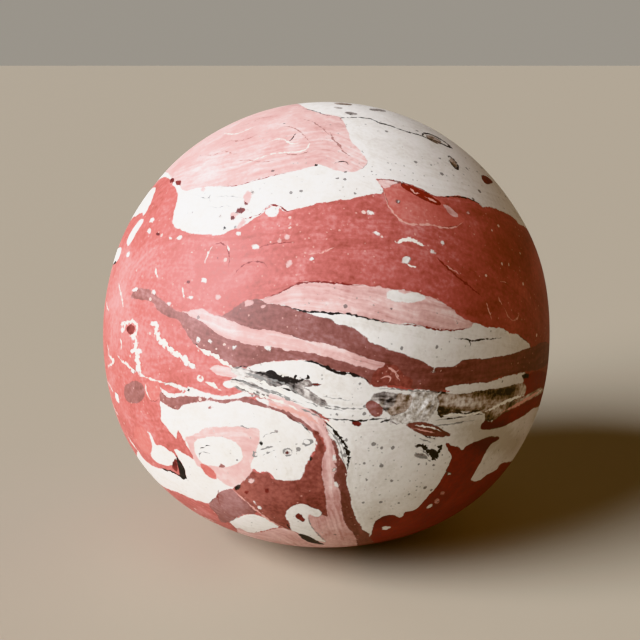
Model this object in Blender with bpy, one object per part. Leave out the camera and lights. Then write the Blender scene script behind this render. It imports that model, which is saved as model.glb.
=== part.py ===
"""A marbled ball that stands on a table or shelf: one solid piece of kneaded gypsum paste.

Metres, +Z up. The origin is the centre of the flat foot that the ball stands on.
Everything is worked out from the ball's centre and then lifted, so that the foot lies at z = 0.
"""
import math

import bmesh
import bpy
from mathutils import Vector

BALL_RADIUS = 0.075
FOOT_GRIND = 0.004  # what is ground off the underside, so that the ball doesn't roll

# The soft paste settled before it set, so the ball is fullest in a ring round its lower shoulder.
# The ring fades to the underside below its crest, and past the waist above it.
SLUMP_RISE = 0.0028
SLUMP_CREST = math.radians(52)  # angles from straight down, seen from the ball's centre
SLUMP_LOW_END = math.radians(12)
SLUMP_HIGH_END = math.radians(94)

# Swells (+) and flats (-) that pressing and hand grinding left.
# Heading in degrees from +X towards +Y, height in degrees above the waist, reach in degrees, rise.
HAND_MARKS = {
    "pressed_underside": (0, -90, 62, -0.0016),
    "left_swell": (182, -15, 36, 0.0009),
    "right_swell": (-4, -12, 24, 0.0004),
    "lower_right_flat": (-6, -38, 22, -0.0008),
    "upper_right_flat": (8, 40, 26, -0.0007),
    "upper_left_flat": (175, 33, 18, -0.0003),
}

SEGMENTS = 88
RINGS = 44
SMOOTH_LIMIT = math.radians(9)  # the foot's rim is sharper than this, and the round surface isn't

PASTE_RED = (0.42, 0.12, 0.09, 1.0)
WAXED_ROUGHNESS = 0.42


def bump(distance, reach):
    """1 at the middle, easing to 0 at the reach and beyond."""
    if distance >= reach:
        return 0.0
    return 0.5 + 0.5 * math.cos(math.pi * distance / reach)


def compass(heading, height):
    """The direction from the ball's centre at this heading and height, in degrees."""
    turn = math.radians(heading)
    rise = math.radians(height)
    return Vector((math.cos(rise) * math.cos(turn), math.cos(rise) * math.sin(turn), math.sin(rise)))


def slump(direction):
    """How far the settled ring stands out of the true sphere in this direction."""
    from_below = direction.angle(Vector((0, 0, -1)))
    if from_below < SLUMP_CREST:
        return SLUMP_RISE * bump(SLUMP_CREST - from_below, SLUMP_CREST - SLUMP_LOW_END)
    return SLUMP_RISE * bump(from_below - SLUMP_CREST, SLUMP_HIGH_END - SLUMP_CREST)


def form_radius(direction):
    """The distance from the ball's centre to its surface in this direction."""
    radius = BALL_RADIUS + slump(direction)
    for heading, height, reach, rise in HAND_MARKS.values():
        away = direction.angle(compass(heading, height))
        radius += rise * bump(away, math.radians(reach))
    return radius


def form_ball(mesh):
    """A true sphere, moved point by point to the settled form."""
    bmesh.ops.create_uvsphere(mesh, u_segments=SEGMENTS, v_segments=RINGS, radius=BALL_RADIUS)
    for vertex in mesh.verts:
        direction = vertex.co.normalized()
        vertex.co = direction * form_radius(direction)


def grind_foot(mesh):
    """Cuts the underside flat, closes it, and stands the ball on it."""
    foot_depth = BALL_RADIUS - FOOT_GRIND
    cut = bmesh.ops.bisect_plane(
        mesh,
        geom=mesh.verts[:] + mesh.edges[:] + mesh.faces[:],
        plane_co=(0, 0, -foot_depth),
        plane_no=(0, 0, -1),
        clear_outer=True,
    )
    rim = [piece for piece in cut["geom_cut"] if isinstance(piece, bmesh.types.BMEdge)]
    bmesh.ops.contextual_create(mesh, geom=rim)
    bmesh.ops.recalc_face_normals(mesh, faces=mesh.faces[:])
    bmesh.ops.translate(mesh, verts=mesh.verts[:], vec=(0, 0, foot_depth))


def paste_material():
    """Gypsum paste ground smooth and waxed, here in the red that covers most of the ball."""
    material = bpy.data.materials.new("marbled_paste")
    material.use_nodes = True
    surface = material.node_tree.nodes["Principled BSDF"]
    surface.inputs["Base Color"].default_value = PASTE_RED
    surface.inputs["Roughness"].default_value = WAXED_ROUGHNESS
    surface.inputs["Metallic"].default_value = 0.0
    return material


def make_ball(collection):
    mesh = bmesh.new()
    form_ball(mesh)
    grind_foot(mesh)
    data = bpy.data.meshes.new("ball")
    mesh.to_mesh(data)
    mesh.free()
    data.shade_smooth()
    data.set_sharp_from_angle(angle=SMOOTH_LIMIT)
    data.materials.append(paste_material())
    ball = bpy.data.objects.new("ball", data)
    collection.objects.link(ball)
    return ball


def main():
    for leftover in list(bpy.data.objects):
        bpy.data.objects.remove(leftover)
    collection = bpy.data.collections.new("marbled_ball")
    bpy.context.scene.collection.children.link(collection)
    make_ball(collection)


main()
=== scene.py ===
"""The looks of a marbled ball that stands on a plain pale floor.

The ball is scagliola: gypsum pastes of several colours, kneaded together while soft, ground round and waxed.
All lengths are millimetres about the ball's centre until the mesh is made, and the ball in model.glb gives
their scale.
The marbling is drawn as outlines in the photograph's pixels, which are 640 x 640. The sides and the back are
drawn in the pixels of the same camera, walked round the ball. A pixel outside the ball's limb stands for a
place behind the limb, as far behind it as the pixel lies outside it.
"""
import math

import bmesh
import bpy
import numpy as np
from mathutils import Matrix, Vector, noise


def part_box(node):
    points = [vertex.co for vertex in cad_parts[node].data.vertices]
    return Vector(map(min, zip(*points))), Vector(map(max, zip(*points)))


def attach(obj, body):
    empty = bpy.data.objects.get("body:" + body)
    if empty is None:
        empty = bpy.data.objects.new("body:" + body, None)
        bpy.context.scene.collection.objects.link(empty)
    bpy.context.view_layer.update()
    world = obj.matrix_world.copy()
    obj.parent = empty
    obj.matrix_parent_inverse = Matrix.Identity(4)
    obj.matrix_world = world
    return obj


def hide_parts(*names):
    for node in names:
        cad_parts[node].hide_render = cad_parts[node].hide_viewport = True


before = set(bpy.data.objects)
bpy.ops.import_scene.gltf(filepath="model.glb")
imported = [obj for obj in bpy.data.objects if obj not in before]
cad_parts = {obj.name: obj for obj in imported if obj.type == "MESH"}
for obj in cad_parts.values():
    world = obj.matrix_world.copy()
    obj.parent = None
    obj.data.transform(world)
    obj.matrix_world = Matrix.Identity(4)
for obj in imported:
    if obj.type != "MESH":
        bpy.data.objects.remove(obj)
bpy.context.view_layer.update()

# Form of the solid ball, in millimetres and degrees
BALL_RADIUS = 75.0
FOOT_GRIND = 4.0
SLUMP_RISE = 2.8
SLUMP_CREST, SLUMP_LOW_END, SLUMP_HIGH_END = 52, 12, 94
HAND_MARKS = {
    "pressed_underside": (0, -90, 62, -1.6),
    "left_swell": (182, -15, 36, 0.9),
    "right_swell": (-4, -12, 24, 0.4),
    "lower_right_flat": (-6, -38, 22, -0.8),
    "upper_right_flat": (8, 40, 26, -0.7),
    "upper_left_flat": (175, 33, 18, -0.3),
}
FOOT_DEPTH = BALL_RADIUS - FOOT_GRIND
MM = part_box("ball")[1].z / (BALL_RADIUS + FOOT_DEPTH)  # metres for one millimetre of the ball

# How the photograph sees the ball
ELEVATION = 14
DISTANCE = 5 * BALL_RADIUS
PHOTO_SIDE = 640
BALL_PX = np.array((327.0, 324.5))
LIMB_PX = 222.5
FOCAL_PX = LIMB_PX * math.sqrt((DISTANCE / BALL_RADIUS) ** 2 - 1)
SENSOR = 36

# The fine mesh
GRID = 128  # squares along a side of the cube that is blown up to the ball
FRONT_ZOOM = 0.6  # under 1 draws the points towards the front, where the marbling is finest
FIELD_CAP = 8.0  # distances to an outline are kept up to this
SETTLE_STEPS = 6  # rounds in which a line of sight finds the uneven surface
CURVE_STEPS, FAR_EDGE_STEPS = 4, 9  # points along a curve for each drawn one, and in side and back edges
NOISE_MEAN = 0.5

# The pastes' edges and streaks, in millimetres
EDGE_BLUR = 0.2
WANDER, WANDER_SIZE = 2.4, 2.0  # how far and how finely the pastes' edges wander
WANDER_SHIFT = 9.0  # sets the wander of each three pastes apart
FRAY = [(14.0, 5.0), (5.0, 2.2), (2.2, 0.9)]  # size and reach of the waves in the side and back edges
FRAY_SEED = 5  # without a seed these waves would differ from run to run
CRUMB_SOFTNESS = 0.6  # under 1 lets a crumb's edge wander more than a large patch's does
STREAK_LENGTH, STREAK_WIDTH = 16.0, 1.5
WAVER, WAVER_SIZE = 1.6, 9.0  # how far streaks waver, in streak widths, and over what length
GRAIN_REACH, GRAIN_BLEND = 18.0, 3.0
MAP_UNIT = 1.5  # ball radii in a unit of the flat map, which are 2 at its middle and 1 at its rim
CLOUD_SIZE = 13.0  # of the soft clouds that each paste has by itself
MOTTLE_SIZE = 1.2  # the real grain is finer, and this is as fine as shows

# Seams and fine lines, in millimetres
SEAM_PATCH, SEAM_WIDTH = 8.0, 0.5
SEAM_FOUND = (0.5, 0.72)  # over these shares of a noise a seam comes to hold slurry
SEAM_BLUR, SEAM_STRENGTH, SLURRY = 0.3, 0.75, "4A2A24"
LINE_CLEAR, LINE_TAPER = 1.3, 3  # room kept beside a line, and how bluntly its ends taper
LINE_GRAIN, LINE_SHAKE = 1.3, 0.45  # size and reach of a line's unevenness
LINE_SWELL_FROM, LINE_SWELL = (0.34, 0.64), (0.2, 1.7)  # shares of a noise, and a line's width at them
LINE_EDGE = (-0.07, 0.11)  # a line's edge fades between these depths

# Grit: pastes it is in, cell size and largest radius in millimetres, least and added share of cells, colour,
# strength. The finest real grit is smaller, and these are as fine as show
GRIT = [
    (("red", "umber", "brick", "salmon"), 2.6, 0.6, 0.06, 0.25, "F0D8CA", 0.8),
    (("red", "umber", "brick", "salmon"), 1.2, 0.32, 0.15, 0.25, "E4B4A6", 0.55),
    (("bone", "rose", "ash"), 2.6, 0.75, 0.06, 0.55, "57504C", 0.75),
    (("bone", "rose"), 1.2, 0.34, 0.12, 0.35, "8A847C", 0.6),
]
SPECK_JOLT, SPECK_JOLT_SIZE = 0.5, 0.7  # makes the round dots ragged, in millimetres
SMALLEST_DOT, DOT_BLUR = 0.35, 0.06

# The pastes' deeper colour at the lower right, partly their own colour and partly painted shade, with a warm
# tint there that is painted shade too: its direction, the millimetres from the foot's centre along it at
# which the pastes start to darken and to take the tint, the length over which both grow, and the tint
DEEPER_AND_SHADED_SIDE = (0.8, 0.0, -0.6)
DEEPER_PASTE_AND_SHADE_FROM, PAINTED_WARM_SHADE_FROM, DEEPER_AND_SHADED_SPAN = -47.6, -5.0, 80.0
PAINTED_WARM_SHADE_TINT = "9C7858"

# Surface: the polishing waves' headings and heights in degrees, then lengths in millimetres, and last the
# roughness and what mottling and wear add to it
POLISH_WAVES = [(0, 10), (65, -20), (130, 35), (200, -40), (290, 5), (340, 60)]
POLISH_HEIGHT, POLISH_LENGTH = 0.02, 4.5
WORN_FROM, CRUMB_SIZE, CRUMB_HEIGHT, CRUMB_SINK = 0.2, 1.4, 0.5, 0.3
FLAKE_SIZE, MOTTLE_HEIGHT = 0.9, 0.05
PINHOLE_CELL, PINHOLE_RADIUS, PINHOLE_SHARE, PINHOLE_DEPTH = 5.0, 0.4, 0.25, 0.3
BUMP_METRES, BUMP_STRENGTH = 0.001, 0.35
SHEEN_ROUGHNESS, MOTTLE_ROUGHNESS, WORN_ROUGHNESS = 0.58, 0.25, 0.2
WAXED_GYPSUM_IOR = 1.5

# Studio: each light's direction, how many degrees wide it is, its strength and its colour
LAMPS = {
    "window": ((-1.56, -0.85, 0.98), 42, 6.7, "F2F6FF"),
    "warm_side": ((1.4, 0.1, 1.1), 60, 0.36, "FFC68A"),
}
ROOM_LIGHT, BACK_LIGHT, HORIZON_LIGHT = 0.06, 0.4, 0.5
BACK_FROM = 0.3  # the room gets lighter from here backwards
HORIZON_FADES = (0.05, 0.1)  # the lighter band at the horizon fades out between these heights
ROOM_COLOUR = "DDD6CA"
FLOOR_COLOUR, FLOOR_ROUGHNESS = "B4A995", 0.8
FLOOR_REACH = 14.0  # metres from its middle to each side


def view_axes(azimuth):
    """The right, up and towards-the-camera directions of a camera at this azimuth."""
    turn, rise = math.radians(azimuth), math.radians(ELEVATION)
    toward = (math.sin(turn) * math.cos(rise), -math.cos(turn) * math.cos(rise), math.sin(rise))
    right = (math.cos(turn), math.sin(turn), 0)
    return np.array((right, np.cross(toward, right), toward))


FRONT, RIGHT_SIDE, BACK, LEFT_SIDE = (view_axes(azimuth) for azimuth in (0, 90, 180, 270))


def bump(distance, reach):
    """1 at the middle, easing to 0 at the reach."""
    return 0.5 + 0.5 * np.cos(np.pi * np.clip(distance / reach, 0, 1))


def compass(heading, height):
    """The direction at this heading and this height above the horizon, in degrees."""
    turn, rise = math.radians(heading), math.radians(height)
    return np.array((math.cos(rise) * math.cos(turn), math.cos(rise) * math.sin(turn), math.sin(rise)))


def angle_from(directions, axis):
    """Degrees between each direction and the axis."""
    return np.degrees(np.arccos(np.clip(directions @ axis, -1, 1)))


def form_radius(directions):
    """Millimetres from the ball's centre to its surface, before the foot is ground flat."""
    below = angle_from(directions, np.array((0, 0, -1)))
    lower = bump(SLUMP_CREST - below, SLUMP_CREST - SLUMP_LOW_END)
    upper = bump(below - SLUMP_CREST, SLUMP_HIGH_END - SLUMP_CREST)
    radius = BALL_RADIUS + SLUMP_RISE * np.where(below < SLUMP_CREST, lower, upper)
    for heading, height, reach, rise in HAND_MARKS.values():
        radius = radius + rise * bump(angle_from(directions, compass(heading, height)), reach)
    return radius


def on_ball(pixels, view):
    """Directions from the ball's centre to the places that these pixels show."""
    right, up, toward = view
    offset = np.asarray(pixels, float) - BALL_PX
    reach = np.maximum(np.hypot(*offset.T), 1e-6)[:, None]
    outward = (offset[:, :1] * right - offset[:, 1:] * up) / reach
    first_limb = math.asin(BALL_RADIUS / DISTANCE)
    rim = form_radius(outward * math.cos(first_limb) + toward * math.sin(first_limb))[:, None]
    limb = np.arcsin(rim / DISTANCE)
    angle = np.arctan(reach / FOCAL_PX)
    behind = angle > limb
    angle = np.where(behind, 2 * limb - angle, angle)
    ray = outward * np.sin(angle) - toward * np.cos(angle)
    nearest = DISTANCE * np.sin(angle) * (toward * np.sin(angle) + outward * np.cos(angle))
    radius = rim
    for _ in range(SETTLE_STEPS):
        depth = np.sqrt(np.maximum(radius**2 - (DISTANCE * np.sin(angle)) ** 2, 0))
        place = nearest + ray * np.where(behind, depth, -depth)
        directions = place / np.linalg.norm(place, axis=1)[:, None]
        radius = form_radius(directions)[:, None]
    return directions


def flattened(directions, view):
    """Stereographic map of the ball, seen along the view. Angles and small shapes keep true on it."""
    right, up, toward = view
    across = np.stack((directions @ right, directions @ up), axis=1)
    return across / np.maximum(1 + directions @ toward, 1e-4)[:, None]


def smoothed(points, closed, steps=CURVE_STEPS):
    """A Catmull-Rom curve through the points."""
    if closed:
        before, after, last = np.roll(points, 1, 0), np.roll(points, -1, 0), np.roll(points, -2, 0)
        here = points
    else:
        ends = np.concatenate((points[:1], points, points[-1:]))
        before, here, after, last = ends[:-3], ends[1:-2], ends[2:-1], ends[3:]
    t = (np.arange(steps) / steps)[:, None, None]
    curve = 0.5 * (
        2 * here + (after - before) * t
        + (2 * before - 5 * here + 4 * after - last) * t**2
        + (3 * here - before - 3 * after + last) * t**3
    )
    curve = curve.transpose(1, 0, 2).reshape(-1, 2)
    return curve if closed else np.concatenate((curve, points[-1:]))


def frayed(path):
    """The same outline with an uneven, kneaded edge, for the sides and the back."""
    moved = []
    for x, y in path:
        nudge = Vector((0, 0, 0))
        for size, reach in FRAY:
            nudge += noise.noise_vector(Vector((x, y, size)) * BALL_RADIUS / size) * reach / BALL_RADIUS
        moved.append((x + nudge.x, y + nudge.y))
    return np.array(moved)


def near_path(places, path, margin):
    """Which places lie in the path's box, with a margin in map units."""
    low, high = path.min(0) - margin, path.max(0) + margin
    return np.nonzero(((places > low) & (places < high)).all(1))[0]


def along_path(places, path, closed=False):
    """For each place: distance to the path, length along it, signed distance to its left, how far it is past
    the path's ends, and whether it lies inside the path."""
    best = np.full(len(places), np.inf)
    along, aside, past = np.zeros((3, len(places)))
    inside = np.zeros(len(places), bool)
    starts = path if closed else path[:-1]
    ends = np.roll(path, -1, 0) if closed else path[1:]
    run = 0.0
    for start, end in zip(starts, ends):
        edge = end - start
        length = float(np.hypot(*edge))
        if length < 1e-9:
            continue
        offset = places - start
        share = offset @ edge / length**2
        held = np.clip(share, 0, 1)
        gap = ((offset - held[:, None] * edge) ** 2).sum(1)
        nearer = gap < best
        best = np.where(nearer, gap, best)
        along = np.where(nearer, run + share * length, along)
        aside = np.where(nearer, (edge[0] * offset[:, 1] - edge[1] * offset[:, 0]) / length, aside)
        past = np.where(nearer, np.abs(share - held) * length, past)
        if closed:
            crosses = (start[1] > places[:, 1]) != (end[1] > places[:, 1])
            slope = edge[0] / (edge[1] if abs(edge[1]) > 1e-12 else 1e-12)
            inside ^= crosses & (offset[:, 0] < slope * offset[:, 1])
        run += length
    return np.sqrt(best), along, aside, past, inside


# Upper edge of the pale lens at the middle, which its bone and its rose share
LENS_UPPER = [
    (260.5, 300), (260.5, 300), (267.5, 297.5), (277.5, 294), (286.5, 289), (296.5, 284.5), (305.5, 282),
    (313, 282.5), (321, 281.5), (332.5, 283), (340.5, 283.5), (348.5, 285), (359.5, 284.5), (368, 286),
    (374, 287.5), (379, 286), (386, 288.5), (400, 290), (414, 292), (428, 296), (436, 299), (446, 305),
    (454, 310.5), (460, 316.5), (464.5, 319), (472, 322.5),
]

# The marbling, in the order that the pastes lie over each other: paste, view, and outline in the view's
# pixels. The body of the ball is the ochre red paste.
MARBLING = {
    "cap_bone": ("bone", FRONT, [
        (176, 190), (178, 197), (176, 206), (173, 217), (173, 225), (180, 229), (188, 232.5), (200, 234),
        (221, 234.5), (232, 229.5), (243, 226), (252, 220), (262, 214), (265, 209), (273, 205.5),
        (278, 207), (282, 210), (287, 211.5), (294, 209.5), (302, 207.5), (310, 206), (317, 203),
        (325, 202), (337, 200.5), (348, 199.5), (362, 196.5), (372, 194.5), (381.5, 194), (381.5, 194),
        (383, 190), (380, 185.5), (375, 179), (375, 179), (386, 179.5), (394, 180.5), (401.5, 182.5),
        (411.5, 186.5), (421, 190), (432, 194.5), (440, 196.5), (457, 196), (464.5, 197), (473, 200),
        (478, 203.5), (483, 207), (489, 207), (498, 210), (507.5, 214), (516.5, 220.5), (521, 225),
        (531, 228), (552, 190), (545, 141), (477, 65), (381, 19), (275, 29), (184, 78), (162.5, 105),
        (141.5, 139.5), (130.5, 160), (127.5, 176.5), (141.5, 175.5), (148, 179.5), (147.5, 188.5),
        (153, 186), (160.5, 178.5), (168, 178),
    ]),
    "cap_rose": ("rose", FRONT, [
        (176, 182), (168, 173), (158, 160), (185, 118), (225, 92), (262, 82), (284, 92), (295, 104),
        (305, 107.5), (318, 112.5), (328, 114.5), (339.5, 117), (343.5, 122), (348, 131.5), (351, 141),
        (355.5, 145.5), (361, 151.5), (366.5, 160), (366.5, 164), (361, 169.5), (352, 172), (336.5, 170.5),
        (325, 166), (318, 164.5), (312, 166.5), (296.5, 170.5), (273.5, 175), (252.5, 180.5),
        (235.5, 185.5), (215.5, 186), (197, 188), (185, 190.5),
    ]),
    "cap_blob": ("bone", FRONT, [
        (265, 210), (270, 207), (273, 205.5), (279, 208), (278, 214), (272, 217), (266, 214.5),
    ]),
    "left_back_bone": ("bone", FRONT, [
        (117.5, 166), (126.5, 172.5), (126, 190.5), (125, 205.5), (120.5, 224.5), (115, 223.5),
        (105.5, 224.5), (95.5, 222), (92, 203.5), (81.5, 192.5), (84.5, 163), (101, 164.5),
    ]),
    "left_sliver_top": ("bone", FRONT, [
        (155.5, 189), (153, 195.5), (151, 202), (148, 207.5), (146, 212), (143.5, 215.5), (142.5, 213),
        (140, 213), (136, 216.5), (133, 217.5), (128.5, 224.5), (124.5, 228.5), (123, 225), (130, 217),
        (137, 208.5), (144, 198.5), (152.5, 188),
    ]),
    "left_sliver_mid": ("bone", FRONT, [
        (141, 219), (143, 222), (136.5, 232.5), (131, 243), (128, 246), (127.5, 240), (133, 229),
    ]),
    "left_sliver_low": ("bone", FRONT, [
        (121, 247.5), (121, 252.5), (119, 258), (116.5, 262), (114, 264), (112.5, 264.5), (112.5, 263),
        (108, 266.5), (106, 262.5), (112.5, 255.5), (116, 253), (117.5, 249.5),
    ]),
    "maroon_drop": ("maroon", FRONT, [
        (482, 175.5), (487, 176.5), (493, 182), (489, 184), (485, 183), (482.5, 179.5),
    ]),
    "umber_ribbon": ("umber", FRONT, [
        (131.5, 294.5), (136, 288.5), (144, 288), (151.5, 290.5), (159, 297), (165, 302), (171.5, 307.5),
        (178.5, 311.5), (184.5, 312), (201, 316), (216, 324), (240, 334), (276, 340), (313, 348),
        (350, 358), (385, 367), (376, 378), (368.5, 384), (366, 379.5), (361, 377), (354, 374.5),
        (347, 372), (342.5, 372.5), (330, 368.5), (321, 364), (313, 361.5), (302, 360), (290.5, 360.5),
        (279, 361), (267.5, 362), (257.5, 364), (250.5, 366.5), (248, 368), (235, 367), (225, 362.5),
        (217.5, 358), (211, 355), (205, 352.5), (200, 348), (195, 345), (190, 338.5), (186, 332),
        (182, 326.5), (178.5, 320), (171.5, 318), (164, 314.5), (157.5, 310), (153, 303.5), (144, 300),
        (131.5, 298.5),
    ]),
    "umber_band": ("umber", FRONT, [
        (216, 316), (224, 315), (235, 307.5), (244.5, 302), (254.5, 299), (262, 299.5), (280, 299),
        (310, 304), (345, 317), (371, 329), (400, 344), (430, 357), (460, 356), (490, 351), (520, 345),
        (531, 348), (546, 342), (556, 352), (545, 366), (530, 371), (519.5, 372.5), (512.5, 374),
        (506.5, 376), (495, 378.5), (486, 382.5), (470.5, 384), (459, 386), (447.5, 388), (439, 393),
        (432, 391.5), (424.5, 389), (409, 388.5), (401.5, 386), (390, 384.5), (377, 387), (370, 378),
        (385, 367), (350, 358), (313, 348), (276, 342), (240, 334), (222, 326),
    ]),
    "lens_bone": ("bone", FRONT, LENS_UPPER + [
        (479, 324), (486, 327), (493.5, 327.5), (504, 329), (509, 333.5), (515, 333.5), (521, 337),
        (527, 342), (531, 348), (531, 348), (524, 349.5), (516.5, 352.5), (505, 355.5), (493.5, 357.5),
        (483, 359), (468, 359), (463, 360.5), (455, 365.5), (440, 367.5), (432, 366.5), (423, 361.5),
        (413, 358), (401.5, 353), (388, 349.5), (378.5, 345), (368.5, 341.5), (368, 338.5), (363, 335),
        (355.5, 328.5), (345, 325.5), (336.5, 324), (330, 319), (317, 316), (309.5, 313.5), (304, 311.5),
        (298, 310.5), (289, 307), (281, 304.5), (267.5, 303),
    ]),
    "lens_rose": ("rose", FRONT, LENS_UPPER + [
        (471, 327.5), (463, 329), (451.5, 330), (445, 330.5), (436, 329), (424.5, 326.5), (407, 323.5),
        (398, 324.5), (386, 322), (371, 319), (353.5, 315), (340.5, 313.5), (330, 313), (315, 311.5),
        (304, 311), (294, 308.5), (289, 307), (281, 304.5), (267.5, 303),
    ]),
    "lens_island": ("bone", FRONT, [
        (387.5, 291.5), (392.5, 290), (398.5, 291.5), (404, 294), (408.5, 292), (417, 293), (425.5, 295.5),
        (423.5, 300), (413, 302.5), (401.5, 302), (392.5, 301.5), (387, 297.5),
    ]),
    "swirly_brick": ("brick", FRONT, [
        (372, 376), (378, 369), (388, 364), (398, 367), (404, 375), (412, 380), (410, 388), (401.5, 386),
        (390, 384.5), (377, 387), (371, 383),
    ]),
    "rose_ribbon": ("rose", FRONT, [
        (184, 311.5), (184, 311.5), (192, 310), (203.5, 309), (209, 313.5), (218, 316), (225, 319),
        (235, 322.5), (244.5, 326), (253, 329), (263.5, 329.5), (271, 330.5), (282.5, 333.5), (290.5, 335),
        (298, 338.5), (309.5, 341), (321, 342.5), (334, 346.5), (344, 349.5), (355.5, 354), (367, 358),
        (378.5, 361.5), (385.5, 364.5), (380, 368.5), (374, 370), (368, 368.5), (359.5, 366.5),
        (350.5, 364), (340.5, 361), (331, 358), (321, 355.5), (313, 353.5), (298, 351.5), (286.5, 350),
        (276.5, 348), (266, 346.5), (256, 345.5), (248.5, 344.5), (240.5, 342), (233, 339.5), (224, 337),
        (216, 332.5), (209, 327), (201, 321), (193.5, 317.5),
    ]),
    "comet_bone": ("bone", FRONT, [
        (247, 369), (250.5, 366.5), (257.5, 364), (267.5, 362), (279, 361), (290.5, 360.5), (302, 360),
        (313, 361.5), (321, 364), (330, 368.5), (342.5, 372.5), (347, 372), (354, 374.5), (361, 377),
        (366, 379.5), (368.5, 384), (376, 387.5), (392, 388), (398, 400), (392, 416), (381, 423),
        (350, 424), (335, 418), (320, 410), (300, 402), (285, 393), (270, 386), (258, 379),
    ]),
    "flank_bone": ("bone", FRONT, [
        (352, 419), (381, 420), (405.5, 425), (430, 430), (450, 433), (482, 428), (505, 424.5), (519, 416),
        (532, 408), (546, 405), (566, 408), (584, 418), (572, 427), (552, 429), (544, 438), (533, 448),
        (520, 462), (504, 478), (480, 482), (455, 498), (420, 515), (385, 526), (373.5, 530), (373, 536),
        (376, 548), (368, 546), (362, 530), (357, 520.5), (350.5, 507), (348, 495.5), (344, 482.5),
        (345, 473.5), (343.5, 465), (337.5, 455.5), (335, 444), (326, 430), (330, 421),
    ]),
    "shelf_pale": ("bone", FRONT, [
        (372, 388.5), (390, 387.5), (405.5, 390.5), (427, 390.5), (447, 392), (458, 386), (488.5, 383),
        (500.5, 378), (514, 374.5), (522, 377), (523, 384), (518, 392), (514, 402), (508, 412), (500, 424),
        (482, 428.5), (466, 431), (450, 433.5), (430, 431), (407, 427), (389, 421), (374, 420), (366, 412),
        (364, 398),
    ]),
    "shelf_ash": ("ash", FRONT, [
        (371, 397), (378, 392.5), (388, 392), (397, 393.5), (404, 398), (403, 406), (393, 411), (382, 411),
        (373, 405),
    ]),
    "shelf_dun_left": ("dun", FRONT, [
        (398, 394), (407, 394.5), (415, 397), (416, 405), (411, 414), (402, 418), (393, 416), (387, 411),
        (395, 404),
    ]),
    "shelf_flakes": ("flake", FRONT, [
        (412, 391), (424, 389.5), (433, 391), (438, 396), (437, 405), (434, 413), (428, 420), (418, 424),
        (405, 423.5), (394, 421), (391, 416), (400, 413.5), (408, 409), (412, 400),
    ]),
    "shelf_umber": ("umber", FRONT, [
        (366, 404), (370, 400.5), (377, 402), (382, 407), (383, 413), (378, 416.5), (371, 415), (367, 410),
    ]),
    "shelf_dun": ("dun", FRONT, [
        (438, 395), (450, 393.5), (462, 394), (474, 392), (486, 390), (500, 388), (512, 385), (522, 383),
        (527, 386), (526, 392), (522, 397), (514, 401), (508, 406), (503, 412), (498, 418), (490, 421),
        (485, 420), (484, 413), (472, 411.5), (460, 411.5), (448, 414), (441, 417.5), (437, 412),
        (439, 403),
    ]),
    "shelf_strip": ("bone", FRONT, [
        (446, 387), (458, 385), (472, 383.5), (488, 382), (501, 378.5), (514, 375), (525, 372.5),
        (527, 376), (519, 380), (503, 383), (488, 387), (470, 389), (456, 391), (447, 391),
    ]),
    "shelf_red": ("crimson", FRONT, [
        (481, 426), (485, 421), (492, 421.5), (499, 417), (504, 411), (510, 405), (516, 400.5), (524, 395),
        (526, 388), (524, 380), (529, 374), (541, 371), (550, 378), (547, 394), (536, 406), (519, 418.5),
        (504, 426), (492, 429), (483, 429.5),
    ]),
    "shelf_wisp": ("dun", FRONT, [
        (500, 412), (506, 407), (514, 402), (522, 398), (530, 393), (540, 388), (543, 390), (534, 397),
        (524, 403), (514, 408), (505, 413),
    ]),
    "stream_head": ("rose", FRONT, [
        (210, 368.5), (216, 365.5), (224, 366.5), (231, 367.5), (238, 369), (240, 374), (233, 377.5),
        (224, 376), (216, 374),
    ]),
    "stream_pale": ("bone", FRONT, [
        (230, 381), (234, 377), (242, 377), (254, 380), (270, 384), (286, 386), (300, 387), (316, 395),
        (330, 404), (346, 412), (352, 420), (340, 424), (328, 419), (314, 410), (300, 406), (286, 401),
        (272, 397), (258, 393), (246, 389), (236, 385),
    ]),
    "stream_flake": ("bone", FRONT, [
        (223, 382.5), (227, 380.5), (232, 382), (234, 386), (230, 388), (225, 386),
    ]),
    "stream_rose": ("rose", FRONT, [
        (257, 394), (268, 394), (280, 397), (292, 401.5), (302, 406), (312, 410.5), (321, 417), (328, 428),
        (331, 441), (322, 437), (314, 429), (304, 422), (292, 416), (280, 410), (268, 405.5), (260, 400),
    ]),
    "stream_grey": ("ash", FRONT, [
        (230, 369.5), (238, 366.5), (248, 369), (258, 372), (268, 374), (276, 379), (284, 385),
        (272, 386.5), (258, 382), (245, 378.5), (235, 375),
    ]),
    "stream_dark": ("ash", FRONT, [
        (258, 373), (266.5, 371.5), (275, 372), (281, 376.5), (291, 378), (300, 380), (309, 381),
        (311, 385), (302, 387), (290, 386), (277, 383), (265, 379),
    ]),
    "stream_low": ("ash", FRONT, [
        (231, 379), (240, 379.5), (251, 383), (261, 387), (270, 392.5), (265, 397.5), (252, 394),
        (240, 389.5), (232, 385),
    ]),
    "stream_tail": ("ash", FRONT, [
        (290, 385.5), (301, 386.5), (311, 392), (320, 398), (329, 405), (322, 406), (311, 401),
        (300, 395.5), (291, 390),
    ]),
    "cove_bone": ("bone", FRONT, [
        (159, 401), (159, 401), (164.5, 403), (171.5, 407), (178.5, 409), (182, 406), (190, 403),
        (201, 401.5), (210, 400), (224, 403), (237, 400), (244, 401.5), (256, 404.5), (268, 407.5),
        (279, 410.5), (285, 413.5), (292.5, 419), (302, 423), (309.5, 430.5), (313.5, 435), (316, 445.5),
        (310.5, 456), (306, 465.5), (302, 476), (298, 480), (287.5, 480.5), (276.5, 480), (272, 474.5),
        (267.5, 471.5), (258.5, 471), (252, 469), (244, 478), (234.5, 487.5), (226, 489), (218.5, 493),
        (217, 499), (220, 508.5), (209.5, 504), (197, 500.5), (188, 497), (176, 491.5), (162, 485.5),
        (151, 475), (141, 464), (137, 452), (143.5, 459), (150, 464.5), (154.5, 467), (161.5, 468.5),
        (167, 470), (174.5, 473.5), (181, 477), (186.5, 478), (185, 469), (181, 462), (177, 455),
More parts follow.
